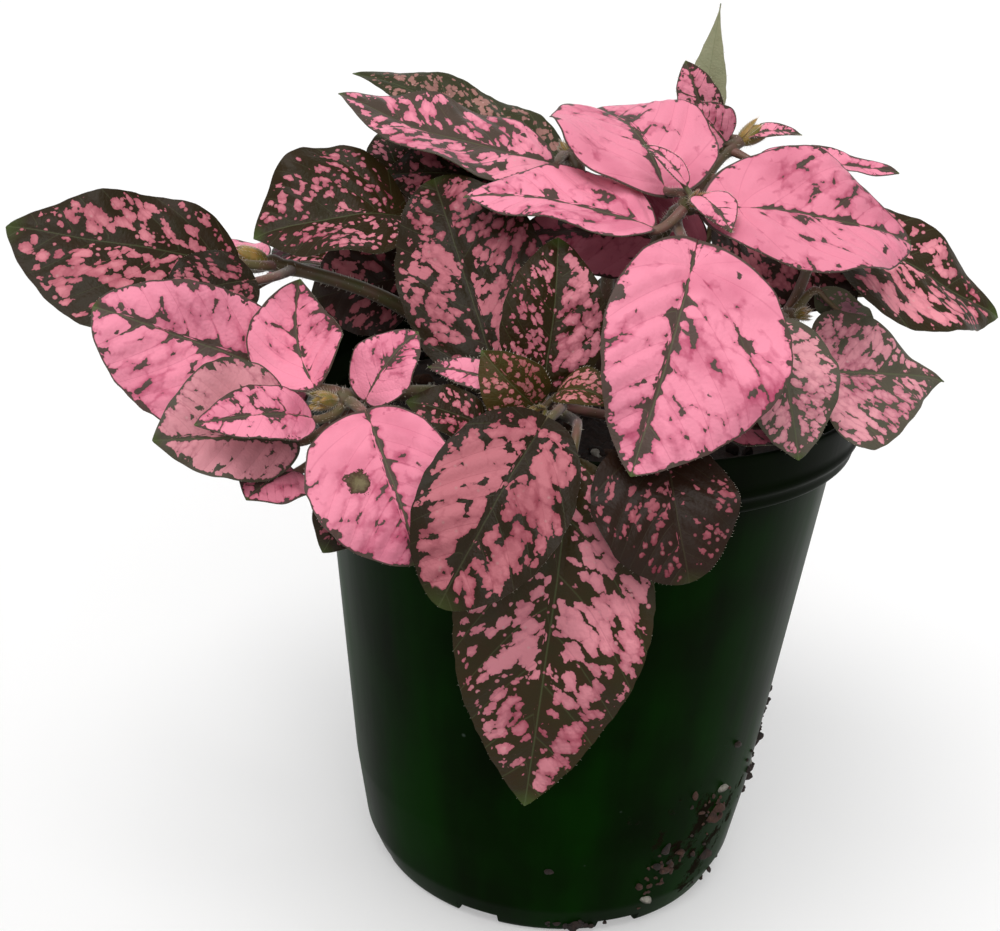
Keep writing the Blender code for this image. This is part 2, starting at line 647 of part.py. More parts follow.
def build_stem(name, parts, cutters):
    """A stem with its bud and youngest leaves joined on."""
    path = stem_path(name)
    curve = bpy.data.curves.new(name, "CURVE")
    curve.dimensions = "3D"
    curve.bevel_depth = STEM_RADIUS * MM
    curve.bevel_resolution = 2
    curve.use_fill_caps = True
    spline = curve.splines.new("POLY")
    spline.points.add(len(path) - 1)
    for spot, (point, radius) in zip(spline.points, path):
        spot.co = (*(point * MM), 1.0)
        spot.radius = radius / STEM_RADIUS
    item = bpy.data.objects.new(name, curve)
    parts.objects.link(item)
    item = applied(item)
    tip, along, radius = stem_point(name, 1.0)
    bpy.ops.mesh.primitive_ico_sphere_add(subdivisions=2, radius=1.0)
    bud = bpy.context.active_object
    bud.name = name + "_bud"
    turn = Vector((0.0, 0.0, 1.0)).rotation_difference(Vector(along))
    size = (0.5 * BUD_WIDTH * MM, 0.5 * BUD_WIDTH * MM,
            0.5 * BUD_HEIGHT * MM)
    place = Matrix.Translation(Vector(tip + along * 0.8) * MM)
    place = place @ turn.to_matrix().to_4x4() @ Matrix.Diagonal((*size, 1.0))
    bud.data.transform(place)
    for owner in list(bud.users_collection):
        owner.objects.unlink(bud)
    cutters.objects.link(bud)
    for k, row in enumerate(YOUNG.get(name, ())):
        rings = young_rings(name, row)
        mesh_object("%s_young_%d" % (name, k), np.vstack(rings),
                    ring_faces(len(rings), len(rings[0])), cutters)
    return joined(item, cutters, "UNION", "MANIFOLD")


def build_leaf(name, parts):
    """One leaf, blade and petiole in one closed loft."""
    rings = leaf_rings(name)
    return mesh_object(name, np.vstack(rings),
                       ring_faces(len(rings), len(rings[0])), parts)


def main():
    """Build every solid."""
    for item in list(bpy.data.objects):
        bpy.data.objects.remove(item)
    parts = new_collection("polka_dot_plant")
    cutters = new_collection("cutters")
    materials = {
        "pot": new_material("pot_plastic", (0.012, 0.035, 0.016), 0.4),
        "soil": new_material("soil_peat", (0.03, 0.018, 0.012), 0.9),
        "stem": new_material("stem_fuzz", (0.16, 0.11, 0.03), 0.7),
        "pink": new_material("pink_leaf", (0.85, 0.22, 0.33), 0.5),
        "dark": new_material("dark_leaf", (0.10, 0.09, 0.05), 0.5),
    }
    pot = build_pot(parts, cutters)
    pot.data.materials.append(materials["pot"])
    soil = build_soil(parts, cutters)
    soil.data.materials.append(materials["soil"])
    for name in STEMS:
        stem = build_stem(name, parts, cutters)
        stem.data.materials.append(materials["stem"])
        stem.data.shade_smooth()
    for name, row in LEAVES.items():
        leaf = build_leaf(name, parts)
        leaf.data.materials.append(materials[row[13]])
        leaf.data.shade_smooth()


main()
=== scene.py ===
"""Potted pink splash polka dot plant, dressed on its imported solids.

Every leaf, stem and clod is a finer mesh in the place of its plain solid, with procedural
materials. Lengths in the tables are millimetres in the plant's own frame.
"""

import math

import bmesh
import bpy
import numpy as np
from mathutils import Matrix, Vector


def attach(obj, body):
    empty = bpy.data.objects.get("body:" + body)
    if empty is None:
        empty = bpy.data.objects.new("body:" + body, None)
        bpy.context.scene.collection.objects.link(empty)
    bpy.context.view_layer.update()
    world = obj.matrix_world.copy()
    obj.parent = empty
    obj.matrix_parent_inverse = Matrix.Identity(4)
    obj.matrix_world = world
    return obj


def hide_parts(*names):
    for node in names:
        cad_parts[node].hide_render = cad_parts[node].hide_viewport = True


bl_info = {
    "name": "Potted Polka Dot Plant",
    "version": (1, 0, 0),
    "blender": (4, 5, 0),
    "location": "3D Viewport > Sidebar > Plant",
    "description": "Splashed leaves, downy stems, potting mix and a nursery pot",
    "category": "Add Mesh",
}

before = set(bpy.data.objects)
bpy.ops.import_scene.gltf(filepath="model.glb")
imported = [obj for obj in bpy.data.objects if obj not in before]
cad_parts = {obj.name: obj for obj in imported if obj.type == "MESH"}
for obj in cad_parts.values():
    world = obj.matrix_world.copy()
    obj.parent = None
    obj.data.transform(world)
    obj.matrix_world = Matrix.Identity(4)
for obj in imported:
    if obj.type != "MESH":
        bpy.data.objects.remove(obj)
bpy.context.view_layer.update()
MM = 0.001
BODY = "root"
FULL_TURN = 6.28

# Pot and soil, from the same driving sizes as the solids
POT_STEPS = 192
WALL = 1.4
POT_HEIGHT = 108.0
POT_FLOOR = 2.0
RIM_RADIUS = 54.7
COLLAR_BOTTOM = 97.0
BEAD_Z = 100.4
NECK_RADIUS = 50.2
KNEE_RADIUS = 41.8
KNEE_Z = 22.0
HEEL_RADIUS = 39.2
HEEL_Z = 7.0
FOOT_RADIUS = 36.0
NOTCHES = 8
NOTCH_WIDTH = 9.0
NOTCH_HEIGHT = 3.0
NOTCH_REACH = 9.0
SOIL_TOP = 96.0
SOIL_BUMP = 1.3
HOLE_DEPTH = 12.0

# Stems and blades. A blade longer than the full length has whole waves, and
# one narrower than the small width has fewer points
STEM_RADIUS = 1.6
STEM_TOP_RADIUS = 1.25
PETIOLE_RADIUS = 0.9
GAP = 0.3
FULL_LENGTH = 30.0
SMALL_WIDTH = 12
SMALL_COLUMNS = 21
TIP_HALF_WIDTH = 0.12
EDGE_THICKNESS = 0.35
WAVES = 2
RIB_COUNT = 6.5
RIB_SLOPE = 0.7
RIB_CURVE = 0.035
MARGIN_RIPPLES = ((0.09, 5.3), (0.06, 2.9))
MIDRIB_ROUND = 1.5
MIDRIB_GROOVE = 0.22
GROOVE_WIDTH = 0.7
ROLL = 0.35

# Pattern of the blades: lean of the splashes against the side veins, width of
# a blade whose marks have their full size, and dots and flecks to the mm
SPLASH_LEAN = 0.35
MARKED_WIDTH = 27.0
SEED_STEP = 23.0
DOTS_PER_MM = 0.62
FLECKS_PER_MM = 0.42

# Numbers of points, hairs and bracts, and the swelling of a stem at a leaf
STEM_STATIONS = 44
STEM_HAIRS = 260
NODE_SWELLING = 0.28
STALK_STATIONS = 14
STALK_HAIRS = 90
BRACTS = 7
GOLDEN_TURN = 2.399
SOIL_RINGS = 40
SOIL_STEPS = 120

# Stage: the floor is flat, then sweeps up into a backdrop. Lengths in metres
FLOOR_STEPS = 96
FLOOR_FLAT = 2.0
FLOOR_SWEEP = 1.2
BACKDROP_HEIGHT = 2.0
FLOOR_GLOW = 0.3

# Each light: the way that it comes from, its strength and its angle across
SUNS = {
    "sun_above": ((-0.15, -0.35, 1.0), 1.46, 40.0),
    "sun_front": ((0.1, -1.0, 0.5), 0.85, 40.0),
    "sun_behind": ((0.2, 1.0, 0.15), 0.85, 60.0),
}

# Forms of a blade: how fast it widens from its base and narrows to its tip
ROUND_FORM = (0.5, 0.62)
OVATE_FORM = (0.55, 0.85)
WIDE_FORM = (0.42, 1.0)
LONG_FORM = (0.62, 0.95)
SPIKE_FORM = (0.5, 1.6)
WEDGE_FORM = (0.4, 1.4)

# Stem rows: foot in the soil, tip, bow
STEMS = {
    "stem_a": ((-18, -20), (-43, -43, 112), 6),
    "stem_b": ((-2, -16), (-8, -40, 111), 4),
    "stem_c": ((9, -6), (16, -20, 144), 5),
    "stem_d": ((16, 8), (28, 15, 149), 4),
    "stem_e": ((-24, -2), (-60, -9, 126), 8),
    "stem_f": ((-14, 4), (-36, -1, 133), 6),
    "stem_g": ((-3, 10), (-5, 13, 145), 4),
    "stem_h": ((-15, 20), (-35, 35, 122), 6),
    "stem_i": ((5, 24), (7, 43, 128), 6),
    "stem_j": ((24, 20), (42, 32, 122), 6),
    "stem_k": ((25, -10), (36.5, -20.5, 125), 6),
}

# Leaf rows: stem, height on it, blade base, blade tip, width, the way the
# face looks, arch, side bend, fold, skew, wave, heart, form, pattern
LEAVES = {
    "leaf_left_far": ("stem_e", 0.967, (-65.2, -15.4, 127.6), (-103, -25, 134), 31.5,
        (-0.2, -0.7, 0.7), 3, -2, 8, -0.31, 1.0, 0.1, OVATE_FORM, "splash"),
    "leaf_left_big": ("stem_a", 0.907, (-50.3, -34.1, 111.9), (-84.3, -40, 125), 25.5,
        (-0.1, -0.85, 0.5), 2, 0, 6, -0.2, 0.8, 0.2, ROUND_FORM, "pink"),
    "leaf_left_low": ("stem_a", 0.933, (-49.9, -50.3, 107.1), (-70, -61, 110), 21.5,
        (-0.1, -0.8, 0.6), 1, 0, 6, 0.28, 0.8, 0.2, OVATE_FORM, "speckle"),
    "leaf_left_small": ("stem_a", 0.977, (-46.2, -49.3, 111), (-63.1, -62, 113.3), 11,
        (0, -0.7, 0.7), 2, 0, 10, 0, 0.4, 0.1, OVATE_FORM, "pink"),
    "leaf_left_up": ("stem_a", 0.952, (-47.1, -43, 115), (-50.4, -34, 130.1), 18,
        (0, -0.95, 0.3), -2, -2, 26, 0, 0.5, 0.2, OVATE_FORM, "pink"),
    "leaf_left_right": ("stem_a", 0.846, (-37.9, -43.9, 112.7), (-29.8, -38.6, 123.5), 12,
        (-0.3, -0.8, 0.5), 2, 0, 10, 0, 0.5, 0.1, OVATE_FORM, "pink"),
    "leaf_front_left": ("stem_a", 0.935, (-36.3, -52.6, 112.2), (-26.6, -67.5, 94), 24,
        (0.1, -0.8, 0.55), 3, 0, 6, 0.15, 0.6, 0.25, ROUND_FORM, "pink"),
    "leaf_behind_small": ("stem_b", 0.74, (-18, -45.5, 110), (-31, -45.8, 113.5), 10,
        (0, -0.6, 0.8), 1, 0, 8, 0, 0.5, 0.1, OVATE_FORM, "splash"),
    "leaf_front_round": ("stem_b", 0.94, (-9, -58, 114), (-23, -74, 90), 24,
        (-0.1, -0.9, 0.4), 3, 0, 8, 0, 0.8, 0.3, ROUND_FORM, "splash"),
    "leaf_front_big": ("stem_b", 0.78, (-3, -57, 110), (-7, -62, 46.5), 33,
        (0, -1, 0.1), 3, 0, 8, 0, 1.0, 0.0, LONG_FORM, "splash"),
    "leaf_front_right": ("stem_b", 0.70, (12.5, -53, 110), (16.7, -66, 92.9), 24,
        (0.1, -0.8, 0.5), 3, 1, 6, 0.15, 1.2, 0.2, ROUND_FORM, "fine"),
    "leaf_heart": ("stem_c", 0.86, (15, -38, 137), (6, -62, 109), 31.5,
        (0.1, -0.85, 0.5), 3, 0, 6, -0.24, 1.0, 0.45, OVATE_FORM, "pink"),
    "leaf_centre_back": ("stem_b", 0.86, (-16, -33, 114), (-30, -6, 143), 27,
        (-0.1, -0.8, 0.55), 2, 0, 6, 0.1, 1.0, 0.2, ROUND_FORM, "fine"),
    "leaf_centre_half": ("stem_b", 0.93, (-8, -36, 115), (-7, -26, 138), 19,
        (0.2, -0.95, 0.3), 2, 0, 10, 0, 0.6, 0.2, OVATE_FORM, "fine"),
    "leaf_centre_flat": ("stem_c", 0.97, (9, -22, 140), (-24, -17, 142), 22,
        (0, -0.25, 0.97), 2, 0, 6, 0.1, 0.8, 0.1, OVATE_FORM, "pink"),
    "leaf_top": ("stem_c", 0.97, (11.5, -12, 145.5), (-0.5, 12, 154.4), 32,
        (0.08, -0.25, 0.95), 3, 0, 8, -0.05, 1.0, 0.2, ROUND_FORM, "pink"),
    "leaf_right_big": ("stem_c", 0.97, (24, -21, 144), (56, -16, 138), 31,
        (0.19, -0.48, 0.85), 3, 1, 6, 0, 1.0, 0.45, OVATE_FORM, "pink"),
    "leaf_upper_left": ("stem_g", 0.97, (-9, 4, 145), (-49, 6, 155), 25,
        (0.2, -0.3, 0.93), -1, -1, 8, -0.05, 1.0, 0.1, OVATE_FORM, "streak"),
    "leaf_back_top": ("stem_g", 0.962, (-6.5, 19, 143.3), (-49.2, 33, 155.4), 14.5,
        (0.1, -0.4, 0.9), 1, 0, 6, 0.2, 0.8, 0.1, OVATE_FORM, "dusky"),
    "leaf_right_back": ("stem_d", 0.93, (31.5, 10.5, 146.8), (59, 13, 145), 8.5,
        (0, -0.4, 0.9), 1, 0, 8, 0, 0.5, 0.1, OVATE_FORM, "pink"),
    "leaf_right_far": ("stem_k", 0.88, (48, -1, 135), (79.9, 4, 119.9), 30,
        (0.5, -0.5, 0.7), 2, 1, 8, 0.2, 1.0, 0.2, WIDE_FORM, "splash"),
    "leaf_right_front": ("stem_k", 0.93, (30, -35, 127), (35, -48, 108), 18,
        (0.1, -0.85, 0.5), 2, 0, 6, 0, 0.8, 0.2, OVATE_FORM, "speckle"),
    "leaf_right_low": ("stem_k", 0.86, (39.3, -29.2, 117), (64.1, -22, 114.7), 29,
        (0.3, -0.6, 0.77), 2, 0, 6, 0.14, 0.8, 0, WEDGE_FORM, "speckle"),
    "leaf_shade_right": ("stem_k", 0.70, (21, -40, 111), (37, -42, 109), 10,
        (0.1, -0.4, 0.9), 1, 0, 6, 0, 0.5, 0.1, OVATE_FORM, "pink"),
    "leaf_turned_right": ("stem_k", 0.959, (41.2, -16.3, 128.9), (52.5, -13.3, 121.2), 9,
        (0.2, 0.7, 0.6), -1, 0, 6, 0, 0.5, 0.1, OVATE_FORM, "dusky"),
    "leaf_left_cupped": ("stem_f", 0.97, (-38, -4, 135), (-62, -12, 131), 29,
        (-0.1, -0.57, 0.8), 2, 0, 16, 0.1, 1.2, 0.3, OVATE_FORM, "fine"),
    "leaf_left_behind": ("stem_f", 0.943, (-36, 7.1, 137.1), (-41.7, 16, 146.5), 12,
        (0, -0.4, 0.9), 1, 0, 6, 0, 0.5, 0.1, OVATE_FORM, "fine"),
    "leaf_left_shade": ("stem_e", 0.882, (-61, -23, 126.3), (-75, -31.5, 123.5), 15,
        (-0.1, -0.75, 0.65), 1, 0, 6, 0, 0.6, 0.2, OVATE_FORM, "fine"),
    "leaf_left_under": ("stem_a", 0.86, (-49, -51, 102), (-55.3, -60, 100.1), 14,
        (0, -0.5, 0.85), 1, 0, 6, 0, 0.5, 0.1, OVATE_FORM, "pink"),
    "leaf_left_tuck": ("stem_a", 0.80, (-35, -55, 105), (-42.4, -64, 93.4), 13,
        (0, -0.9, 0.4), 1, 0, 6, 0, 0.5, 0.1, OVATE_FORM, "fine"),
    "leaf_inner_left": ("stem_f", 0.80, (-35, 8, 120), (-54, 8, 114), 21,
        (0, -0.9, 0.45), 2, 0, 8, 0, 0.6, 0.1, OVATE_FORM, "splash"),
    "leaf_inner_middle": ("stem_d", 0.7, (21.2, 5.4, 130.6), (-14.3, 3.9, 130.9), 21,
        (0, -0.8, 0.6), 3, 0, 8, 0, 0.8, 0.2, OVATE_FORM, "pink"),
    "leaf_inner_right": ("stem_d", 0.76, (24.9, 5.7, 136.1), (52, 2, 122), 24,
        (0, -0.8, 0.6), 2, 0, 8, 0, 0.6, 0.1, OVATE_FORM, "fine"),
    "leaf_inner_back": ("stem_g", 0.887, (-11.6, 7.2, 139.5), (-40.1, 6.1, 140.2), 21,
        (0, -0.7, 0.7), 2, 0, 8, 0, 0.6, 0.1, OVATE_FORM, "fine"),
    "leaf_back_long": ("stem_i", 0.97, (7, 52, 126), (3, 80, 108), 27,
        (0, 0.6, 0.8), 4, 0, 8, 0, 1.0, 0.2, OVATE_FORM, "pink"),
    "leaf_back_right": ("stem_i", 0.97, (15, 43, 130), (38, 50, 123), 22,
        (0.3, 0.2, 0.9), 3, 0, 8, 0, 0.8, 0.2, OVATE_FORM, "splash"),
    "leaf_back_left": ("stem_i", 0.97, (-3, 44, 129), (-28, 52, 124), 23,
        (-0.2, 0.3, 0.9), 3, 0, 8, 0, 0.8, 0.2, OVATE_FORM, "pink"),
    "leaf_back_inner": ("stem_i", 0.97, (6, 37, 131), (4, 20, 137), 16,
        (0, 0.3, 0.9), 2, 0, 10, 0, 0.6, 0.1, OVATE_FORM, "speckle"),
    "leaf_rear_left": ("stem_h", 0.97, (-43, 38, 120), (-66, 50, 109), 24,
        (-0.4, 0.5, 0.8), 3, 0, 8, 0, 1.0, 0.2, ROUND_FORM, "pink"),
    "leaf_rear_middle": ("stem_h", 0.97, (-32, 44, 118), (-26, 74, 102), 25,
        (0, 0.6, 0.8), 3, 0, 8, 0, 1.0, 0.2, OVATE_FORM, "splash"),
    "leaf_rear_side": ("stem_h", 0.86, (-43, 28, 117), (-72, 26, 108), 24,
        (-0.4, 0.1, 0.9), 3, 0, 8, 0, 0.8, 0.2, OVATE_FORM, "fine"),
    "leaf_left_rear": ("stem_e", 0.97, (-64, -4, 124), (-84, 12, 118), 20,
        (-0.3, 0.2, 0.9), 2, 0, 8, 0, 0.8, 0.2, OVATE_FORM, "pink"),
    "leaf_right_rear": ("stem_j", 0.966, (49.9, 34.5, 120.6), (70.6, 45.9, 109.1), 24,
        (0.4, 0.4, 0.8), 3, 0, 8, 0, 1.0, 0.2, ROUND_FORM, "splash"),
    "leaf_right_behind": ("stem_j", 0.97, (37, 41, 120), (38, 68, 106), 23,
        (0.1, 0.6, 0.8), 3, 0, 8, 0, 0.8, 0.2, OVATE_FORM, "streak"),
    "leaf_right_side": ("stem_j", 0.86, (50, 24, 117), (70.9, 22, 113.5), 23,
        (0.4, 0.1, 0.9), 3, 0, 8, 0, 0.8, 0.2, OVATE_FORM, "pink"),
    "leaf_rear_low": ("stem_i", 0.80, (14, 56, 110), (20, 68, 84), 25,
        (0.2, 0.9, 0.4), 3, 0, 6, 0, 0.8, 0.2, OVATE_FORM, "splash"),
    "leaf_rear_fall": ("stem_h", 0.80, (-18, 56, 110), (-14, 69, 86), 24,
        (0, 0.9, 0.4), 3, 0, 6, 0, 0.8, 0.2, OVATE_FORM, "speckle"),
}

# Young leaves of a stem's tip: base, tip, width, face, arch, fold, form, pattern
YOUNG = {
    "stem_b": (
        ((-9, -41, 112), (-19, -42, 122), 12, (-0.3, -0.9, 0.4), 2, 12,
         LONG_FORM, "olive"),
        ((-6, -41, 115), (4, -46, 115), 10, (0.1, -0.5, 0.9), 2, 12,
         LONG_FORM, "olive"),
        ((-14, -40, 115.5), (-28, -37.5, 117), 6, (0, -0.7, 0.7), 1, 12,
         LONG_FORM, "pink"),
    ),
    "stem_c": (
        ((17, -22, 146), (22, -31, 142), 8, (0.1, -0.6, 0.8), 1, 14,
         LONG_FORM, "pink"),
        ((15, -20, 147), (7, -16, 153), 5, (0, -0.3, 0.9), 1, 14,
         LONG_FORM, "pink"),
    ),
    "stem_d": (
        ((20.2, 16, 151), (22.2, 21, 173.9), 8.5, (-0.2, -0.9, 0.1), 0, 20,
         SPIKE_FORM, "pale"),
        ((22, 14.5, 151), (16, 16, 163.5), 9, (-0.3, -0.9, 0.4), 1, 20,
         OVATE_FORM, "streak"),
        ((25, 12, 149), (17, 11, 156), 10, (-0.3, -0.8, 0.6), 1, 14,
         LONG_FORM, "streak"),
        ((29, 15, 150), (40, 16, 151), 5, (0, -0.4, 0.9), 1, 14,
         LONG_FORM, "streak"),
    ),
}

# Size of the bud at a stem's tip, where it isn't the usual one
BUD_SIZES = {"stem_a": 1.1, "stem_e": 1.4, "stem_d": 1.2, "stem_c": 0.9, "stem_g": 0.65,
             "stem_k": 0.65}

# Soil stuck to the pot: turn in degrees, height, spread of both, share of the
# crumbs, share of grit, and 0 for black peat or 2 for brown bark
CRUMB_SPOTS = (
    (1.0, 31.0, 6.0, 7.5, 0.50, 0.01, 0),
    (-42.0, 27.0, 4.0, 4.0, 0.11, 0.0, 2),
    (-58.0, 14.0, 4.0, 3.0, 0.13, 0.03, 2),
    (-24.0, 20.0, 24.0, 11.0, 0.18, 0.05, 0),
    (-82.0, 2.5, 8.0, 0.6, 0.08, 0.0, 0),
)

# Extra pink of a leaf: all over, towards the tip, towards its v > 0 side
BLUSH = {
    "leaf_left_far": (0.09, -0.18, 0.0),
    "leaf_left_low": (0.25, 0.0, 0.0),
    "leaf_left_cupped": (-0.12, 0.04, -0.04),
    "leaf_upper_left": (-0.19, 0.0, -0.06),
    "leaf_top": (0.02, 0.0, 0.0),
    "leaf_heart": (-0.05, 0.0, 0.0),
    "leaf_left_big": (-0.06, 0.0, 0.0),
    "leaf_left_up": (-0.02, 0.0, -0.22),
    "leaf_front_big": (-0.06, 0.16, -0.10),
    "leaf_front_round": (0.16, 0.0, 0.0),
    "leaf_front_right": (-0.20, 0.0, 0.0),
    "leaf_centre_back": (0.07, -0.04, 0.0),
    "leaf_centre_half": (0.04, 0.0, 0.20),
    "leaf_right_far": (0.0, 0.0, 0.06),
    "leaf_behind_small": (-0.06, 0.0, 0.0),
}

# Middle of a leaf's dried brown patch: across from its midrib and from its base
DRIED = {"leaf_front_left": (5.4, 11.0)}

# Tone of a leaf, where it isn't the full light one: partly the leaf's own deeper colour, partly
# painted shade on blades deep inside or under others; values above 1 are painted light
TONE_AND_SHADE = {
    "leaf_left_far": 0.78, "leaf_left_low": 0.86, "leaf_front_round": 0.60,
    "leaf_front_left": 0.95, "leaf_front_big": 1.08, "leaf_front_right": 0.50,
    "leaf_right_big": 0.91, "leaf_top": 0.93, "leaf_centre_back": 0.63,
    "leaf_heart": 1.0,
    "leaf_centre_half": 0.88, "leaf_behind_small": 0.75, "leaf_left_cupped": 0.88,
    "leaf_left_tuck": 0.65, "leaf_left_under": 0.75, "leaf_shade_right": 0.5,
    "leaf_left_shade": 0.58, "leaf_inner_left": 0.48, "leaf_inner_middle": 0.48,
    "leaf_inner_right": 0.48, "leaf_inner_back": 0.55,
}


class POLKA_PG_pot(bpy.types.PropertyGroup):
    """The nursery pot and its soil"""
    plastic: bpy.props.StringProperty(
        name="Plastic", description="sRGB hex colour of the pot", default="#0B2D04")
    wall: bpy.props.FloatProperty(
        name="Wall", description="Thickness of the pot's wall",
        default=WALL * MM, unit="LENGTH")
    crumbs: bpy.props.IntProperty(
        name="Crumbs", description="Crumbs of soil stuck to the pot", default=210, min=0)
    clods: bpy.props.IntProperty(
        name="Clods", description="Bark and grit pieces on the soil", default=260, min=0)


class POLKA_PG_leaves(bpy.types.PropertyGroup):
    """The leaves and stems"""
    thickness: bpy.props.FloatProperty(
        name="Thickness", description="Thickness of a blade at its midrib",
        default=0.42 * MM, unit="LENGTH")
    quilting: bpy.props.FloatProperty(
        name="Quilting", description="Rise of a blade between its side veins",
        default=0.48 * MM, unit="LENGTH")
    stations: bpy.props.IntProperty(
        name="Stations", description="Rows of points along a blade", default=60, min=8)
    columns: bpy.props.IntProperty(
        name="Columns", description="Points across a blade", default=37, min=5)
    hair: bpy.props.FloatProperty(
        name="Hair", description="Length of the down on stems and margins",
        default=0.9 * MM, unit="LENGTH")


class POLKA_PG_stage(bpy.types.PropertyGroup):
    """Camera, lights and floor"""
    target: bpy.props.FloatVectorProperty(
        name="Target", description="Point at the middle of the view",
        default=(-0.0147, 0.0, 0.0845), subtype="XYZ", unit="LENGTH")
    distance: bpy.props.FloatProperty(
        name="Distance", description="Camera to target", default=0.320, unit="LENGTH")
    elevation: bpy.props.FloatProperty(
        name="Elevation", description="Angle that the camera looks down",
        default=math.radians(22.0), subtype="ANGLE")
    roll: bpy.props.FloatProperty(
        name="Roll", description="Turn of the camera about its view",
        default=math.radians(3.4), subtype="ANGLE")
    lens: bpy.props.FloatProperty(
        name="Lens", description="Focal length on a 36 mm sensor", default=57.6)
    floor: bpy.props.StringProperty(
        name="Floor", description="sRGB hex colour of the floor", default="#D6D5D4")


# Shared helpers

def linear(code, alpha=1.0):
    """Linear colour of an sRGB hex code."""
    shares = [int(code[k:k + 2], 16) / 255.0 for k in (1, 3, 5)]
    return [c / 12.92 if c <= 0.04045 else ((c + 0.055) / 1.055) ** 2.4
            for c in shares] + [alpha]


# Settings that many nodes share
COLOUR_MIX = {"out": 2, "data_type": "RGBA"}
SMOOTH_RANGE = {"interpolation_type": "SMOOTHSTEP"}


def add_node(tree, kind, links=None, out=0, **settings):
    """Adds one node with its links and settings, and gives one output or, for
    None, all of them. A hex code among the links is a colour."""
    node = tree.nodes.new("ShaderNode" + kind)
    for key, value in settings.items():
        setattr(node, key, value)
    for key, value in (links or {}).items():
        if isinstance(value, bpy.types.NodeSocket):
            tree.links.new(value, node.inputs[key])
        else:
            node.inputs[key].default_value = linear(value) if isinstance(value, str) else value
    return node.outputs if out is None or not len(node.outputs) else node.outputs[out]


def add_object(name, data):
    """A new object in the scene."""
    item = bpy.data.objects.new(name, data)
    bpy.context.collection.objects.link(item)
    return item


def new_material(name):
    """An empty node material and its tree."""
    material = bpy.data.materials.new(name)
    material.use_nodes = True
    material.node_tree.nodes.clear()
    return material, material.node_tree


def shade(tree, sockets):
    """Principled shader with these sockets, joined to the output."""
    shader = add_node(tree, "BsdfPrincipled", sockets)
    add_node(tree, "OutputMaterial", {"Surface": shader})


def unit(vector):
    """The same way with length one, for one vector or rows of them."""
    vector = np.asarray(vector, float)
    return vector / np.maximum(np.linalg.norm(vector, axis=-1, keepdims=True), 1e-9)


def cubic(points, t):
    """Points on a cubic Bezier curve at each t."""
    a, b, c, d = (np.asarray(p, float) for p in points)
    t = np.asarray(t, float)[:, None]
    return ((1 - t) ** 3 * a + 3 * t * (1 - t) ** 2 * b
            + 3 * t ** 2 * (1 - t) * c + t ** 3 * d)


# Stems

def stem_curve(name):
    """Control points of a stem above the soil."""
    foot, tip, bow = STEMS[name]
    start = np.array([foot[0], foot[1], SOIL_TOP + 3.0])
    end = np.array(tip, float)
    rise = end[2] - start[2]
    out = unit([end[0] - start[0], end[1] - start[1], 0.0])
    first = start + np.array([0.0, 0.0, 0.45 * rise + bow])
    second = end - out * 0.25 * np.linalg.norm(end - start)
    second[2] = end[2] - 0.12 * rise
    return [start, first, second, end]


def stem_point(name, height):
    """Centre, direction and radius of a stem at a height from 0 to 1."""
    curve = stem_curve(name)
    near = cubic(curve, [max(height - 0.01, 0.0), min(height + 0.01, 1.0)])
    radius = STEM_RADIUS + (STEM_TOP_RADIUS - STEM_RADIUS) * height
    return cubic(curve, [height])[0], unit(near[1] - near[0]), radius


def leaf_heights(stem):
    """Where leaves leave a stem."""
    return [row[1] for row in LEAVES.values() if row[0] == stem]


# Meshes, as shells of points in millimetres with their faces

def tube(points, radii, sides, slot=0, squash=1.0, level=None):
    """Closed tube along points, turned evenly, with its own radii."""
    points = np.asarray(points, float)
    along = unit(np.gradient(points, axis=0))
    normal = np.array([0.0, 0.0, 1.0]) if level is None else np.asarray(level, float)
    if abs(np.dot(normal, along[0])) > 0.95:
        normal = np.array([1.0, 0.0, 0.0])
    rows = []
    angles = np.arange(sides) * 2.0 * math.pi / sides
    for point, ahead, radius in zip(points, along, radii):
        normal = unit(normal - ahead * np.dot(normal, ahead))
        side = np.cross(ahead, normal)
        rows.append(point + radius * (np.outer(np.cos(angles), side)
                                      + squash * np.outer(np.sin(angles), normal)))
    count = len(points)
    faces = []
    for i in range(count - 1):
        for k in range(sides):
            a = i * sides + k
            b = i * sides + (k + 1) % sides
            faces.append((a, b, b + sides, a + sides))
    faces.append(tuple(reversed(range(sides))))
    faces.append(tuple((count - 1) * sides + k for k in range(sides)))
    return {"points": np.vstack(rows), "faces": faces, "slot": slot}


def hairs(roots, ways, lengths, width):
    """Fine tapering hairs, each a slim closed tetrahedron."""
    roots = np.asarray(roots, float)
    ways = unit(ways)
    lengths = np.asarray(lengths, float)[:, None]
    helper = np.where(np.abs(ways[:, 2:3]) > 0.8, [[1.0, 0.0, 0.0]], [[0.0, 0.0, 1.0]])
    side = unit(np.cross(ways, helper))
    other = np.cross(ways, side)
    corners = [roots + width * (math.cos(a) * side + math.sin(a) * other)
               for a in (0.0, 2.0944, 4.1888)]
    points = np.stack(corners + [roots + ways * lengths], axis=1).reshape(-1, 3)
    faces = []
    for k in range(0, 4 * len(roots), 4):
        faces += [(k, k + 2, k + 1), (k, k + 1, k + 3),
                  (k + 1, k + 2, k + 3), (k + 2, k, k + 3)]
    return {"points": points, "faces": faces, "slot": 2}


def disc_faces(rings, steps):
    """Faces of a round sheet: a fan about point 0, then bands outward."""
    faces = [(0, 1 + k, 1 + (k + 1) % steps) for k in range(steps)]
    for i in range(rings - 1):
        for k in range(steps):
            a = 1 + i * steps + k
            b = 1 + i * steps + (k + 1) % steps
            faces.append((a, a + steps, b + steps, b))
    return faces


def width_share(form, u):
    """Half width of a blade as a share of the widest, along its length."""
    peak = form[0] / (form[0] + form[1])
    top = peak ** form[0] * (1.0 - peak) ** form[1]
    return u ** form[0] * (1.0 - u) ** form[1] / top


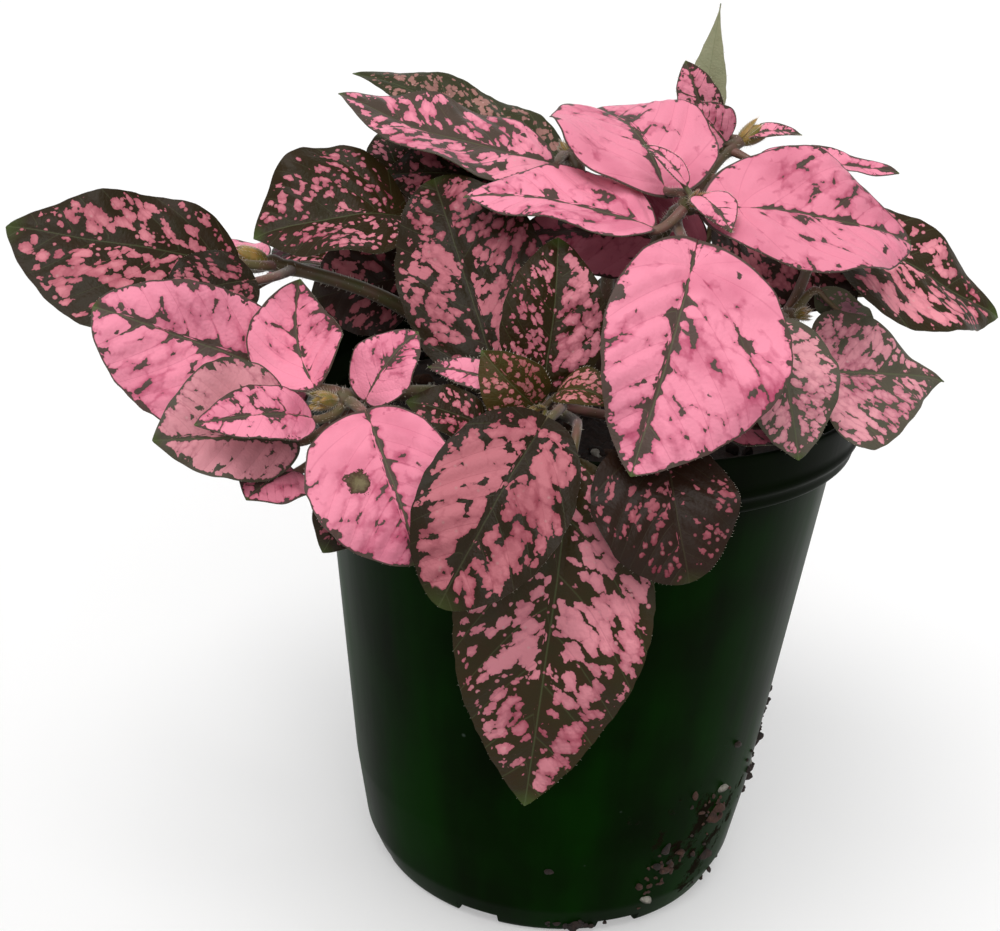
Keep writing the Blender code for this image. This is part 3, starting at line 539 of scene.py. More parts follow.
def blade_frames(row, us):
    """Points of a blade's midrib with their directions along, up and aside."""
    base, tip, face = (np.asarray(row[key], float) for key in ("base", "tip", "face"))
    along = unit(tip - base)
    up = unit(face - along * np.dot(face, along))
    side = np.cross(along, up)
    middle = 0.5 * (base + tip) + up * 2.0 * row["arch"] + side * 2.0 * row["bend"]
    u = np.asarray(us, float)[:, None]
    points = (1 - u) ** 2 * base + 2 * u * (1 - u) * middle + u ** 2 * tip
    along = unit((1 - u) * (middle - base) + u * (tip - middle))
    normal = unit(up - along * (along @ up)[:, None])
    return points, along, normal, np.cross(along, normal)


def blade_faces(count, across):
    """Faces of a blade's upper and lower sheets of points, joined all round."""
    n = count * across
    faces = []
    for i in range(count - 1):
        for j in range(across - 1):
            a = i * across + j
            b = a + across
            faces.append((a, a + 1, b + 1, b))
            faces.append((n + a, n + b, n + b + 1, n + a + 1))
        a = i * across
        b = a + across
        faces.append((a, b, n + b, n + a))
        a += across - 1
        b += across - 1
        faces.append((a, n + a, n + b, b))
    last = (count - 1) * across
    for j in range(across - 1):
        faces.append((j, n + j, n + j + 1, j + 1))
        faces.append((last + j, last + j + 1, n + last + j + 1, n + last + j))
    return faces


def blade_shell(row, seed, settings):
    """Closed blade: points, faces and the measures its pattern needs."""
    rng = np.random.default_rng(1000 + seed)
    large = row["width"] > SMALL_WIDTH
    count = settings.stations if large else settings.stations // 2
    across_count = settings.columns if large else SMALL_COLUMNS
    t = np.linspace(0.0, 1.0, count)
    us = 0.55 * 0.5 * (1.0 - np.cos(math.pi * t)) + 0.45 * t
    v = np.linspace(-1.0, 1.0, across_count)
    v = np.sign(v) * (0.55 * np.abs(v) + 0.45 * np.sin(0.5 * math.pi * np.abs(v)))
    points, along, normal, side = blade_frames(row, us)
    steps = np.linalg.norm(np.diff(points, axis=0), axis=1)
    s = np.concatenate([[0.0], np.cumsum(steps)])
    length = s[-1]
    half = 0.5 * row["width"]
    reach = np.maximum(half * width_share(row["form"], us), TIP_HALF_WIDTH)
    phase = rng.uniform(0.0, FULL_TURN, 8)
    margin = sum(rise * np.sin(s * FULL_TURN / wave + turn)
                 for (rise, wave), turn in zip(MARGIN_RIPPLES, phase))
    margin = margin * np.clip(reach / 4.0, 0.0, 1.0)
    sign = np.sign(v)[None, :]
    part = (reach + margin)[:, None] * (1.0 + row["skew"] * sign)
    lean = math.radians(row["fold"])
    c = v[None, :] * part
    rounded = np.sqrt(c ** 2 + MIDRIB_ROUND) - math.sqrt(MIDRIB_ROUND)
    ripple_phase = 2.0 * math.pi * WAVES * us[:, None] + np.where(sign > 0, 0.0, 1.7)
    ripple = row["wave"] * np.abs(v)[None, :] ** 1.5 * np.sin(ripple_phase)
    ripple = ripple * np.sin(math.pi * us[:, None]) ** 0.5
    back = row["heart"] * half * np.abs(v)[None, :] ** 1.6 * (1.0 - us[:, None]) ** 3
    ahead = s[:, None] - back
    spread = np.abs(c)
    spacing = length / RIB_COUNT
    curve = RIB_SLOPE * spread + RIB_CURVE * spread ** 2
    start = ahead - curve
    fan = np.arctan2(spread, ahead + 0.3) - np.arctan2(spread, curve + 0.3)
    rib = np.where(start > 0.0, start / spacing, -1.6 * fan)
    rib = rib + np.where(sign > 0, 0.5, 0.0) * np.clip(spread / 0.8, 0.0, 1.0)
    slope = np.clip(np.gradient(reach, s), -2.0, 2.0)[:, None]
    lobe = row["heart"] * half * (1.0 - us[:, None]) ** 3
    edge = (1.0 - np.abs(v)[None, :]) * (part + lobe) / np.sqrt(1.0 + slope ** 2)
    edge = np.minimum(edge, (length - s)[:, None] * 0.7 + 0.1)
    bulge = 0.5 - 0.5 * np.cos(2.0 * math.pi * rib)
    bulge = bulge * np.clip(spread / 3.0, 0.0, 1.0) * np.clip(edge / 3.0, 0.0, 1.0)
    quilting = settings.quilting / MM * min(1.0, length / FULL_LENGTH)
    roll = ROLL * (np.sin(ahead * 0.31 + phase[2]) * np.sin(c * 0.37 + phase[3])
                   + 0.7 * np.sin(ahead * 0.17 - c * 0.23 + phase[4]))
    roll = roll * np.clip(length / FULL_LENGTH, 0.0, 1.0) * np.clip(s / 6.0, 0.0, 1.0)[:, None]
    groove = -MIDRIB_GROOVE * np.exp(-(c / GROOVE_WIDTH) ** 2)
    lift = rounded * math.sin(lean) + ripple + bulge * quilting + roll + groove
    middle = (points[:, None] + side[:, None] * (c * math.cos(lean))[..., None]
              + normal[:, None] * lift[..., None] - along[:, None] * back[..., None])
    surface = unit(np.cross(np.gradient(middle, axis=1), np.gradient(middle, axis=0)))
    flip = np.sign(np.einsum("ijk,ik->ij", surface, normal))
    surface = surface * np.where(flip == 0, 1.0, flip)[..., None]
    thinning = EDGE_THICKNESS + (1.0 - EDGE_THICKNESS) * np.clip(edge / 2.0, 0.0, 1.0)
    thick = 0.5 * settings.thickness / MM * thinning
    upper = middle + surface * thick[..., None]
    lower = middle - surface * thick[..., None]
    faces = blade_faces(count, across_count)
    # A small blade has the same marks, only finer
    finer = min(max(MARKED_WIDTH / row["width"], 1.0), 2.5) ** 0.5
    blush = row["blush"][0] + row["blush"][1] * us[:, None] + row["blush"][2] * v[None, :]
    offset = SEED_STEP * seed
    ahead = np.broadcast_to(ahead, c.shape)
    seeds = np.full(c.shape, offset)
    halves = offset + np.where(sign > 0, 9.0, 0.0) * np.ones(c.shape)
    measures = {
        "blade_flat": np.stack([c * finer, ahead * finer, seeds], axis=-1),
        "blade_rib": np.stack([(ahead - SPLASH_LEAN * curve) * finer, spread * finer,
                               halves], axis=-1),
        "blade_edge": np.stack([edge * finer, blush * np.ones(c.shape), rib], axis=-1),
        "blade_turn": np.stack([np.zeros(c.shape), np.hypot(length - ahead, 0.7 * c) * finer,
                                np.full(c.shape, row["depth"])], axis=-1),
        "blade_spot": np.full(c.shape + (3,), 99.0),
    }
    if row["spot"]:
        spot_c, spot_s = row["spot"]
        away = np.stack([c - spot_c, ahead - spot_s, np.zeros(c.shape)], axis=-1)
        measures["blade_spot"] = away
    doubled = {key: np.concatenate([value.reshape(-1, 3)] * 2) for key, value in measures.items()}
    doubled["blade_turn"][count * across_count:, 0] = 1.0
    rim = np.concatenate([upper[:, 0], upper[:, -1]])
    rim_ways = np.concatenate([-side, side]) + 0.5 * np.concatenate([along, along])
    centre = across_count // 2
    return {"points": np.vstack([upper.reshape(-1, 3), lower.reshape(-1, 3)]), "faces": faces,
            "slot": 0, "measures": doubled, "rim": rim, "rim_ways": rim_ways,
            "spine": lower[:, centre], "spine_up": surface[:, centre]}


def blade_row(base, tip, width, face, arch=0, bend=0, fold=0, skew=0, wave=0, heart=0,
              form=LONG_FORM, blush=(0.0, 0.0, 0.0), depth=1.0, spot=None):
    """Named sizes of one blade."""
    return {"base": base, "tip": tip, "width": width, "face": face, "arch": arch,
            "bend": bend, "fold": fold, "skew": skew, "wave": wave, "heart": heart,
            "form": form, "blush": blush, "depth": depth, "spot": spot}


def petiole_shell(row, blade, foot, leave, first_radius):
    """Petiole from its stem, running on as the raised rib underneath."""
    rows = np.arange(0, int(0.94 * len(blade["spine"])), 2)
    us = rows / float(len(blade["spine"]))
    radii = PETIOLE_RADIUS * (0.95 - 0.8 * us) * min(1.0, 0.5 + row["width"] / 40.0)
    sunk = blade["spine"][rows] - blade["spine_up"][rows] * (0.8 * radii - 0.12)[:, None]
    along = unit(sunk[3] - sunk[0])
    reach = np.linalg.norm(sunk[0] - foot) / 3.0
    curve = [foot, foot + leave * reach, sunk[0] - along * reach, sunk[0]]
    stalk = cubic(curve, np.linspace(0.0, 1.0, STALK_STATIONS)[:-1])
    stalk_radii = np.linspace(first_radius, radii[0], STALK_STATIONS)[:-1]
    line = np.vstack([stalk, sunk])
    radii = np.concatenate([stalk_radii, radii])
    shell = tube(line, radii, 10, 1, 0.85, blade["spine_up"][0])
    return {**shell, "line": line, "radii": radii}


def make_piece(name, shells, materials, nodes):
    """One mesh object from shells, riding on the plant's body."""
    points = np.vstack([shell["points"] for shell in shells]) * MM
    faces = []
    slots = []
    start = 0
    for shell in shells:
        faces += [tuple(start + k for k in face) for face in shell["faces"]]
        slots += [shell["slot"]] * len(shell["faces"])
        start += len(shell["points"])
    mesh = bpy.data.meshes.new(name)
    mesh.from_pydata(points.tolist(), [], faces)
    mesh.polygons.foreach_set("material_index", slots)
    keys = sorted({key for shell in shells for key in shell.get("measures", {})})
    for key in keys:
        rows = [shell.get("measures", {}).get(key, np.zeros((len(shell["points"]), 3)))
                for shell in shells]
        attribute = mesh.attributes.new(key, "FLOAT_VECTOR", "POINT")
        attribute.data.foreach_set("vector", np.vstack(rows).astype(np.float32).ravel())
    mesh.polygons.foreach_set("use_smooth", [True] * len(faces))
    mesh.set_sharp_from_angle(angle=math.radians(50.0))
    for material in materials:
        mesh.materials.append(material)
    piece = add_object(name, mesh)
    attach(piece, BODY)
    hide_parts(*nodes)
    return piece


# Materials

# Living leaf tissue with anthocyanin: how each kind of blade is splashed. The
# size of one round splash in mm, how far it stretches along the side veins,
# the share of pink and how much that varies, the dark widths in mm by the
# midrib and the margin, the depth of the dark side veins, the share of dots in
# the dark and of flecks in the pink, the green tip in mm, two pinks, two darks
LOOK_KEYS = ("cell", "stretch", "share", "patch", "band", "rim", "vein", "dots", "flecks", "tip",
             "bright", "deep", "dark", "other_dark")
LOOKS = {
    "pink": (2.3, 1.2, 0.9, 0.9, 1.0, 0.6, 0.34, 0.0, 0.12, 0.6,
             "#F996AE", "#B54566", "#5E443F", "#4A4138"),
    "streak": (2.0, 1.5, 0.8, 0.9, 1.1, 0.7, 0.34, 0.2, 0.16, 0.6,
               "#F899AE", "#B5506A", "#58443B", "#443C31"),
    "splash": (2.3, 1.1, 0.6, 0.9, 1.6, 1.2, 0.1, 1.0, 0.05, 3.2,
               "#F49AA6", "#A8465A", "#36200C", "#2A290D"),
    "fine": (1.8, 1.0, 0.58, 0.8, 1.4, 1.0, 0.08, 0.9, 0.05, 2.0,
             "#F096A4", "#963C50", "#36200C", "#2A290D"),
    "speckle": (1.5, 1.2, 0.68, 0.6, 0.9, 0.6, 0.18, 0.4, 0.2, 1.0,
                "#EBA0AA", "#AE5C70", "#5E5044", "#4E5242"),
    # The dusky kind is painted shade: a dull, darkened copy of the pinks and greens for blades in
    # shade
    "dusky": (1.9, 1.2, 0.5, 1.0, 1.4, 1.0, 0.08, 0.6, 0.0, 1.5,
              "#A8796F", "#7F554F", "#3A3A1C", "#2A2A14"),
    "olive": (1.5, 1.1, 0.57, 0.7, 0.8, 0.5, 0.08, 0.8, 0.0, 1.0,
              "#D98A8C", "#B4605F", "#3C3C14", "#4E3819"),
    "pale": (2.0, 1.6, 0.05, 0.6, 0.8, 0.8, 0.05, 0.0, 0.0, 0.5,
             "#C9AEA8", "#A88B86", "#8B8E6C", "#A6A686"),
}


def blade_material(kind):
    """Leaf blade, living tissue under a thin cuticle: round splashes that run
    together into lobed pink patches on dark olive, a satin sheen and veins."""
    look = dict(zip(LOOK_KEYS, LOOKS[kind]))
    material, tree = new_material("leaf_blade_" + kind)
    flat, rib, sides, turn, spot = (
        add_node(tree, "Attribute", out="Vector", attribute_name="blade_" + key)
        for key in ("flat", "rib", "edge", "turn", "spot"))
    ahead = add_node(tree, "SeparateXYZ", {0: flat}, 1)
    spread = add_node(tree, "SeparateXYZ", {0: rib}, 1)
    edge, blush, phase = add_node(tree, "SeparateXYZ", {0: sides}, None)
    under, tip, depth = add_node(tree, "SeparateXYZ", {0: turn}, None)
    # The splashes lie in a field that leans with the side veins, and is bent
    # by 0.5 mm over some 6 mm and by 0.2 mm over some 1 mm
    wide_bend = add_node(tree, "TexNoise", {"Vector": flat, "Scale": 0.16, "Detail": 1.0}, "Color")
    fine_bend = add_node(tree, "TexNoise", {"Vector": flat, "Scale": 1.0, "Detail": 2.0,
                                            "Roughness": 0.6}, "Color")
    bend = add_node(tree, "VectorMath", {0: wide_bend, 1: (2.2, 2.2, 0.0), 2: rib},
                    operation="MULTIPLY_ADD")
    bend = add_node(tree, "VectorMath", {0: fine_bend, 1: (1.1, 1.1, 0.0), 2: bend},
                    operation="MULTIPLY_ADD")
    place = add_node(tree, "VectorMath", {0: bend, 1: (1.0, 1.0 / look["stretch"], 1.0)},
                     operation="MULTIPLY")
    large = add_node(tree, "TexVoronoi", {"Vector": place, "Scale": 1.0 / look["cell"]}, "Distance")
    small = add_node(tree, "TexVoronoi", {"Vector": place, "Scale": 2.4 / look["cell"]}, "Distance")
    distance = add_node(tree, "Math", {0: small, 1: 0.30, 2: large}, operation="MULTIPLY_ADD")
    # Where the splashes grow large they meet, elsewhere they stay apart
    growth = add_node(tree, "TexNoise", {"Vector": place, "Scale": 0.13, "Detail": 2.0}, "Fac")
    reach = add_node(tree, "Math", {0: growth, 1: look["patch"],
                                    2: look["share"] + 0.11 - 0.5 * look["patch"]},
                     operation="MULTIPLY_ADD")
    foot = add_node(tree, "MapRange", {0: ahead, 1: 2.0, 2: 10.0,
                                       3: 0.5 * max(look["share"] - 0.6, 0.0) / 0.3, 4: 0.0})
    for more in (blush, foot):
        reach = add_node(tree, "Math", {0: reach, 1: more}, operation="ADD")
    # Dark band along the midrib, of uneven width
    width_noise = add_node(tree, "TexNoise", {"Vector": flat, "Scale": 0.28, "Detail": 2.0}, "Fac")
    band_width = add_node(tree, "MapRange", {0: width_noise, 1: 0.35, 2: 0.65,
                                             3: 0.3 * look["band"], 4: 2.2 * look["band"]})
    band = add_node(tree, "MapRange", {0: spread, 1: 0.0, 2: band_width, 3: 0.75, 4: 0.0})
    core = add_node(tree, "MapRange", {0: width_noise, 1: 0.38, 2: 0.62, 3: 0.05,
                                       4: 0.55 * look["band"]})
    core = add_node(tree, "Math", {0: core, 1: spread}, operation="SUBTRACT")
    core = add_node(tree, "MapRange", {0: core, 1: 0.0, 2: 0.2, 3: 0.0, 4: 1.2}, **SMOOTH_RANGE)
    # Dark margin, where the splashes shrink
    teeth = add_node(tree, "TexNoise", {"Vector": flat, "Scale": 0.5, "Detail": 2.0,
                                        "Roughness": 0.6}, "Fac")
    rim_width = add_node(tree, "MapRange", {0: teeth, 1: 0.48, 2: 0.72, 3: 0.2 + look["rim"],
                                            4: 0.2 + min(4.5 * look["rim"], 3.0)})
    rim_depth = add_node(tree, "MapRange", {0: teeth, 1: 0.48, 2: 0.66, 3: 0.42, 4: 0.95})
    rim = add_node(tree, "MapRange", {0: edge, 1: 0.2, 2: rim_width, 3: rim_depth, 4: 0.0})
    shallow = 0.10 if look["share"] < 0.75 else -0.13
    shore = add_node(tree, "MapRange", {0: edge, 1: 0.6, 2: 4.5, 3: shallow, 4: 0.0})
    # Side veins, half a phase apart on the two halves, dark near the midrib
    vein_gap = add_node(tree, "Math", {0: phase, 1: 0.5}, operation="PINGPONG")
    vein = add_node(tree, "MapRange", {0: vein_gap, 1: 0.0, 2: 0.13, 3: look["vein"], 4: 0.0},
                    **SMOOTH_RANGE)
    near = add_node(tree, "MapRange", {0: spread, 1: 0.5, 2: 6.0, 3: 1.9, 4: 0.2})
    broken = add_node(tree, "TexNoise", {"Vector": flat, "Scale": 0.22, "Detail": 1.0}, "Fac")
    broken = add_node(tree, "MapRange", {0: broken, 1: 0.40, 2: 0.60})
    for share in (near, broken):
        vein = add_node(tree, "Math", {0: vein, 1: share}, operation="MULTIPLY")
    for less in (band, core, rim, shore, vein):
        reach = add_node(tree, "Math", {0: reach, 1: less}, operation="SUBTRACT")
    field = add_node(tree, "Math", {0: reach, 1: distance}, operation="SUBTRACT")
    pink = add_node(tree, "MapRange", {0: field, 1: -0.02, 2: 0.02, 3: 0.0, 4: 1.0}, **SMOOTH_RANGE)
    # Small round dots in the dark parts, with paler centres
    dot_gap, dot_lot = add_node(tree, "TexVoronoi", {"Vector": flat, "Scale": DOTS_PER_MM},
                                None)[:2]
    crowd = add_node(tree, "MapRange", {0: growth, 1: 0.42, 2: 0.60, 3: 0.1 * look["dots"],
                                        4: look["dots"]})
    chosen = add_node(tree, "Math", {0: dot_lot, 1: crowd}, operation="LESS_THAN")
    dot = add_node(tree, "MapRange", {0: dot_gap, 1: 0.20, 2: 0.28, 3: 1.0, 4: 0.0}, **SMOOTH_RANGE)
    inland = add_node(tree, "Math", {0: edge, 1: 0.7}, operation="GREATER_THAN")
    for share in (chosen, inland):
        dot = add_node(tree, "Math", {0: dot, 1: share}, operation="MULTIPLY")
    pink = add_node(tree, "Math", {0: pink, 1: dot}, operation="MAXIMUM")
    # Small torn flecks of green in the pink parts
    torn_gap, torn_lot = add_node(tree, "TexVoronoi", {"Vector": bend, "Scale": FLECKS_PER_MM},
                                  None)[:2]
    ragged = add_node(tree, "Math", {0: small, 1: 0.35, 2: torn_gap}, operation="MULTIPLY_ADD")
    ragged = add_node(tree, "Math", {0: ragged, 1: 0.14}, operation="SUBTRACT")
    picked = add_node(tree, "Math", {0: torn_lot, 1: look["flecks"]}, operation="LESS_THAN")
    fleck = add_node(tree, "MapRange", {0: ragged, 1: 0.20, 2: 0.28, 3: 1.0, 4: 0.0},
                     **SMOOTH_RANGE)
    fleck = add_node(tree, "Math", {0: fleck, 1: picked}, operation="MULTIPLY")
    whole = add_node(tree, "Math", {0: 1.0, 1: fleck}, operation="SUBTRACT")
    # The outermost 0.25 mm and the very tip stay green
    inner = add_node(tree, "MapRange", {0: edge, 1: 0.22, 2: 0.32})
    green_tip = add_node(tree, "Math", {0: width_noise, 1: look["tip"], 2: tip},
                         operation="MULTIPLY_ADD")
    green_tip = add_node(tree, "MapRange", {0: green_tip, 1: 1.3 * look["tip"],
                                            2: 1.3 * look["tip"] + 0.4}, **SMOOTH_RANGE)
    for share in (whole, inner, green_tip):
        pink = add_node(tree, "Math", {0: pink, 1: share}, operation="MULTIPLY")
    # Pink is brighter well inside a splash and deeper by its edge
    inside = add_node(tree, "MapRange", {0: field, 1: 0.0, 2: 0.4, 3: 0.08, 4: 0.7})
    tone = add_node(tree, "TexNoise", {"Vector": flat, "Scale": 0.075, "Detail": 3.0,
                                       "Roughness": 0.5}, "Fac")
    tone = add_node(tree, "Math", {0: tone, 1: 2.1, 2: -0.72}, operation="MULTIPLY_ADD")
    warm = add_node(tree, "MapRange", {0: ahead, 1: -2.0, 2: 9.0, 3: 0.12, 4: 0.0})
    tone = add_node(tree, "Math", {0: tone, 1: warm}, operation="SUBTRACT")
    tone = add_node(tree, "Math", {0: inside, 1: tone}, operation="ADD", use_clamp=True)
    # A dot has a pale eye, and the tip a fresher green
    eye = add_node(tree, "MapRange", {0: dot_gap, 1: 0.0, 2: 0.22, 3: 0.6, 4: 0.0})
    eye = add_node(tree, "Math", {0: dot, 1: eye}, operation="MULTIPLY")
    fresh = add_node(tree, "MapRange", {0: tip, 1: 0.3, 2: 0.8 + look["tip"], 3: 0.8, 4: 0.0})
    # Veins show as fine pale lines on the green and deeper ones on the pink
    line = add_node(tree, "MapRange", {0: vein_gap, 1: 0.0, 2: 0.035, 3: 0.22, 4: 0.0},
                    **SMOOTH_RANGE)
    mid_line = add_node(tree, "MapRange", {0: spread, 1: 0.05, 2: 0.25, 3: 0.32, 4: 0.0},
                        **SMOOTH_RANGE)
    line = add_node(tree, "Math", {0: line, 1: mid_line}, operation="MAXIMUM")
    # Painted shade: blades deep inside the plant, with a low tone, are maroon where others are
    # green
    painted_inner_shade = add_node(tree, "MapRange", {0: depth, 1: 0.42, 2: 0.54, 3: 0.8, 4: 0.0})
    pinks = add_node(tree, "Mix", {0: tone, 6: look["deep"], 7: look["bright"]}, **COLOUR_MIX)
    for share, over in ((eye, "#E3BDB8"), (line, look["deep"])):
        pinks = add_node(tree, "Mix", {0: share, 6: pinks, 7: over}, **COLOUR_MIX)
    greens = add_node(tree, "Mix", {0: width_noise, 6: look["dark"], 7: look["other_dark"]},
                      **COLOUR_MIX)
    for share, over in ((fresh, "#4A5E28"), (line, "#6C7850"), (painted_inner_shade, "#44221F")):
        greens = add_node(tree, "Mix", {0: share, 6: greens, 7: over}, **COLOUR_MIX)
    colour = add_node(tree, "Mix", {0: pink, 6: greens, 7: pinks}, **COLOUR_MIX)
    # Each blade's colour is multiplied by its tone, redder the lower it is: partly its own colour,
    # partly painted shade and light
    cooler = add_node(tree, "Math", {0: depth, 1: 1.3}, operation="POWER")
    tone_and_shade_colour = add_node(tree, "CombineColor", {0: depth, 1: cooler, 2: cooler})
    colour = add_node(tree, "Mix", {0: 1.0, 6: colour, 7: tone_and_shade_colour}, **COLOUR_MIX, blend_type="MULTIPLY")
    # Underneath, the same splashes through a dull grey-mauve skin
    dull = add_node(tree, "Mix", {0: pink, 6: "#74745C", 7: "#C88898"}, **COLOUR_MIX)
    colour = add_node(tree, "Mix", {0: under, 6: colour, 7: dull}, **COLOUR_MIX)
    if kind == "pink":
        # A dried brown patch on one blade, mottled and darker in the middle
        away = add_node(tree, "VectorMath", {0: spot}, "Value", operation="LENGTH")
        away = add_node(tree, "Math", {0: width_noise, 1: -2.0, 2: away}, operation="MULTIPLY_ADD")
        tears = add_node(tree, "TexNoise", {"Vector": flat, "Scale": 1.1, "Detail": 3.0,
                                            "Roughness": 0.7}, "Fac")
        tears = add_node(tree, "Math", {0: tears, 1: 0.5}, operation="SUBTRACT")
        away = add_node(tree, "Math", {0: tears, 1: -2.6, 2: away}, operation="MULTIPLY_ADD")
        dried = add_node(tree, "MapRange", {0: away, 1: 0.85, 2: 1.0, 3: 1.0, 4: 0.0})
        core = add_node(tree, "MapRange", {0: away, 1: -0.4, 2: 0.9, 3: 1.0, 4: 0.0})
        brown = add_node(tree, "Mix", {0: core, 6: "#40241A", 7: "#75694A"}, **COLOUR_MIX)
        colour = add_node(tree, "Mix", {0: dried, 6: colour, 7: brown}, **COLOUR_MIX)
    rough = add_node(tree, "MapRange", {0: pink, 3: 0.42, 4: 0.52})
    cell_noise = add_node(tree, "TexNoise", {"Vector": flat, "Scale": 1.6, "Detail": 3.0}, "Fac")
    height = add_node(tree, "Math", {0: line, 1: -0.8, 2: cell_noise}, operation="MULTIPLY_ADD")
    bump = add_node(tree, "Bump", {"Height": height, "Strength": 0.5, "Distance": 0.25 * MM})
    shade(tree, {"Base Color": colour, "Roughness": rough, "Normal": bump,
                 "Specular IOR Level": 0.16, "Sheen Weight": 0.03, "Sheen Roughness": 0.5})
    return material


def blade_material_of(kind):
    """The material of a kind of blade, made once."""
    found = bpy.data.materials.get("leaf_blade_" + kind)
    return found or blade_material(kind)


def stem_material(name, low, high, streak):
    """Soft green stem, living tissue: streaked along its length, slightly
    glossy under a pale down."""
    material, tree = new_material(name)
    place = add_node(tree, "TexCoord", out="Object")
    streaks = add_node(tree, "TexNoise", {"Vector": place, "Scale": streak / MM, "Detail": 3.0},
                       "Fac")
    amount = add_node(tree, "MapRange", {0: streaks, 1: 0.35, 2: 0.65})
    colour = add_node(tree, "Mix", {0: amount, 6: low, 7: high}, **COLOUR_MIX)
    bump = add_node(tree, "Bump", {"Height": streaks, "Strength": 0.5, "Distance": 0.2 * MM})
    shade(tree, {"Base Color": colour, "Roughness": 0.5, "Normal": bump,
                 "Specular IOR Level": 0.45, "Sheen Weight": 0.25})
    return material


def down_material():
    """Plant down: fine pale hairs that catch the light."""
    material, tree = new_material("plant_down")
    place = add_node(tree, "TexCoord", out="Object")
    patches = add_node(tree, "TexNoise", {"Vector": place, "Scale": 0.3 / MM, "Detail": 1.0}, "Fac")
    colour = add_node(tree, "Mix", {0: patches, 6: "#D8CFAE", 7: "#F0E2DC"}, **COLOUR_MIX)
    shade(tree, {"Base Color": colour, "Roughness": 0.6, "Sheen Weight": 0.3})
    return material


def plastic_material(code):
    """Injection-moulded polypropylene, dark green: satin, with faint flow
    streaks, fine scuffs, pale specks, soil dust low on one side, and painted
    shade darkening the collar."""
    material, tree = new_material("moulded_polypropylene_green")
    place = add_node(tree, "TexCoord", out="Object")
    tall = add_node(tree, "VectorMath", {0: place, 1: (1.0, 1.0, 0.12)}, operation="MULTIPLY")
    streaks = add_node(tree, "TexNoise", {"Vector": tall, "Scale": 0.09 / MM, "Detail": 3.0}, "Fac")
    cloud = add_node(tree, "TexNoise", {"Vector": place, "Scale": 0.05 / MM, "Detail": 4.0}, "Fac")
    shift = add_node(tree, "Math", {0: streaks, 1: cloud}, operation="MULTIPLY")
    shift = add_node(tree, "MapRange", {0: shift, 1: 0.15, 2: 0.4})
    # Painted shade: the collar darkens towards the rim, in place of the shade that the leaves above
    # cast on it
    height = add_node(tree, "SeparateXYZ", {0: place}, 2)
    painted_collar_shade = add_node(tree, "Math", {0: cloud, 1: 8.0 * MM, 2: height}, operation="MULTIPLY_ADD")
    painted_collar_shade = add_node(tree, "MapRange", {0: painted_collar_shade, 1: 94.0 * MM, 2: 103.0 * MM, 3: 0.0, 4: 0.75})
    # Pale specks, 0.3 to 0.8 mm across
    pale_specks = add_node(tree, "TexVoronoi", {"Vector": place, "Scale": 0.085 / MM}, "Distance")
    pale_specks = add_node(tree, "MapRange", {0: pale_specks, 1: 0.03, 2: 0.05, 3: 0.5, 4: 0.0})
    # Soil dust low on the pot's right
    corner = add_node(tree, "VectorMath", {0: place, 1: (31.0 * MM, -27.0 * MM, 20.0 * MM)},
                      operation="SUBTRACT")
    corner = add_node(tree, "VectorMath", {0: corner}, "Value", operation="LENGTH")
    near = add_node(tree, "MapRange", {0: corner, 1: 6.0 * MM, 2: 32.0 * MM, 3: 0.22, 4: 0.0})
    grit = add_node(tree, "TexNoise", {"Vector": place, "Scale": 0.16 / MM, "Detail": 6.0,
                                       "Roughness": 0.72}, "Fac")
    grit = add_node(tree, "Math", {0: grit, 1: near}, operation="ADD")
    dust = add_node(tree, "MapRange", {0: grit, 1: 0.72, 2: 0.80, 3: 0.0, 4: 0.9}, **SMOOTH_RANGE)
    colour = add_node(tree, "Mix", {0: shift, 6: "#081703", 7: code}, **COLOUR_MIX)
    # The collar mix is painted shade; the specks and the dust are the pot's own marks
    for share, over in ((painted_collar_shade, "#0B0C07"), (pale_specks, "#6F7F73"), (dust, "#1E1510")):
        colour = add_node(tree, "Mix", {0: share, 6: colour, 7: over}, **COLOUR_MIX)
    rough = add_node(tree, "MapRange", {0: streaks, 1: 0.3, 2: 0.7, 3: 0.30, 4: 0.42})
    rough = add_node(tree, "Math", {0: dust, 1: 0.5, 2: rough}, operation="MULTIPLY_ADD")
    bump = add_node(tree, "Bump", {"Height": streaks, "Strength": 0.35, "Distance": 0.4 * MM})
    bump = add_node(tree, "Bump", {"Height": dust, "Strength": 0.6, "Distance": 0.3 * MM,
                                   "Normal": bump})
    shade(tree, {"Base Color": colour, "Roughness": rough, "Normal": bump, "IOR": 1.49,
                 "Specular IOR Level": 0.012})
    return material


def soil_material(name, low, high, grain):
    """Potting mix or its bark and grit: rough, damp, broken in tone."""
    material, tree = new_material(name)
    place = add_node(tree, "TexCoord", out="Object")
    grains = add_node(tree, "TexNoise", {"Vector": place, "Scale": 1.0 / (grain * MM),
                                         "Detail": 6.0, "Roughness": 0.65}, "Fac")
    amount = add_node(tree, "MapRange", {0: grains, 1: 0.35, 2: 0.68})
    colour = add_node(tree, "Mix", {0: amount, 6: low, 7: high}, **COLOUR_MIX)
    bump = add_node(tree, "Bump", {"Height": grains, "Strength": 0.9, "Distance": 0.6 * MM})
    shade(tree, {"Base Color": colour, "Roughness": 0.85, "Normal": bump})
    return material


# Pot and soil

def wall_radius(z):
    """Outer radius of the pot's side at a height."""
    if z <= HEEL_Z:
        return FOOT_RADIUS + (HEEL_RADIUS - FOOT_RADIUS) * z / HEEL_Z
    if z <= KNEE_Z:
        share = (z - HEEL_Z) / (KNEE_Z - HEEL_Z)
        return HEEL_RADIUS + (KNEE_RADIUS - HEEL_RADIUS) * share
    share = (z - KNEE_Z) / (COLLAR_BOTTOM - KNEE_Z)
    return KNEE_RADIUS + (NECK_RADIUS - KNEE_RADIUS) * share


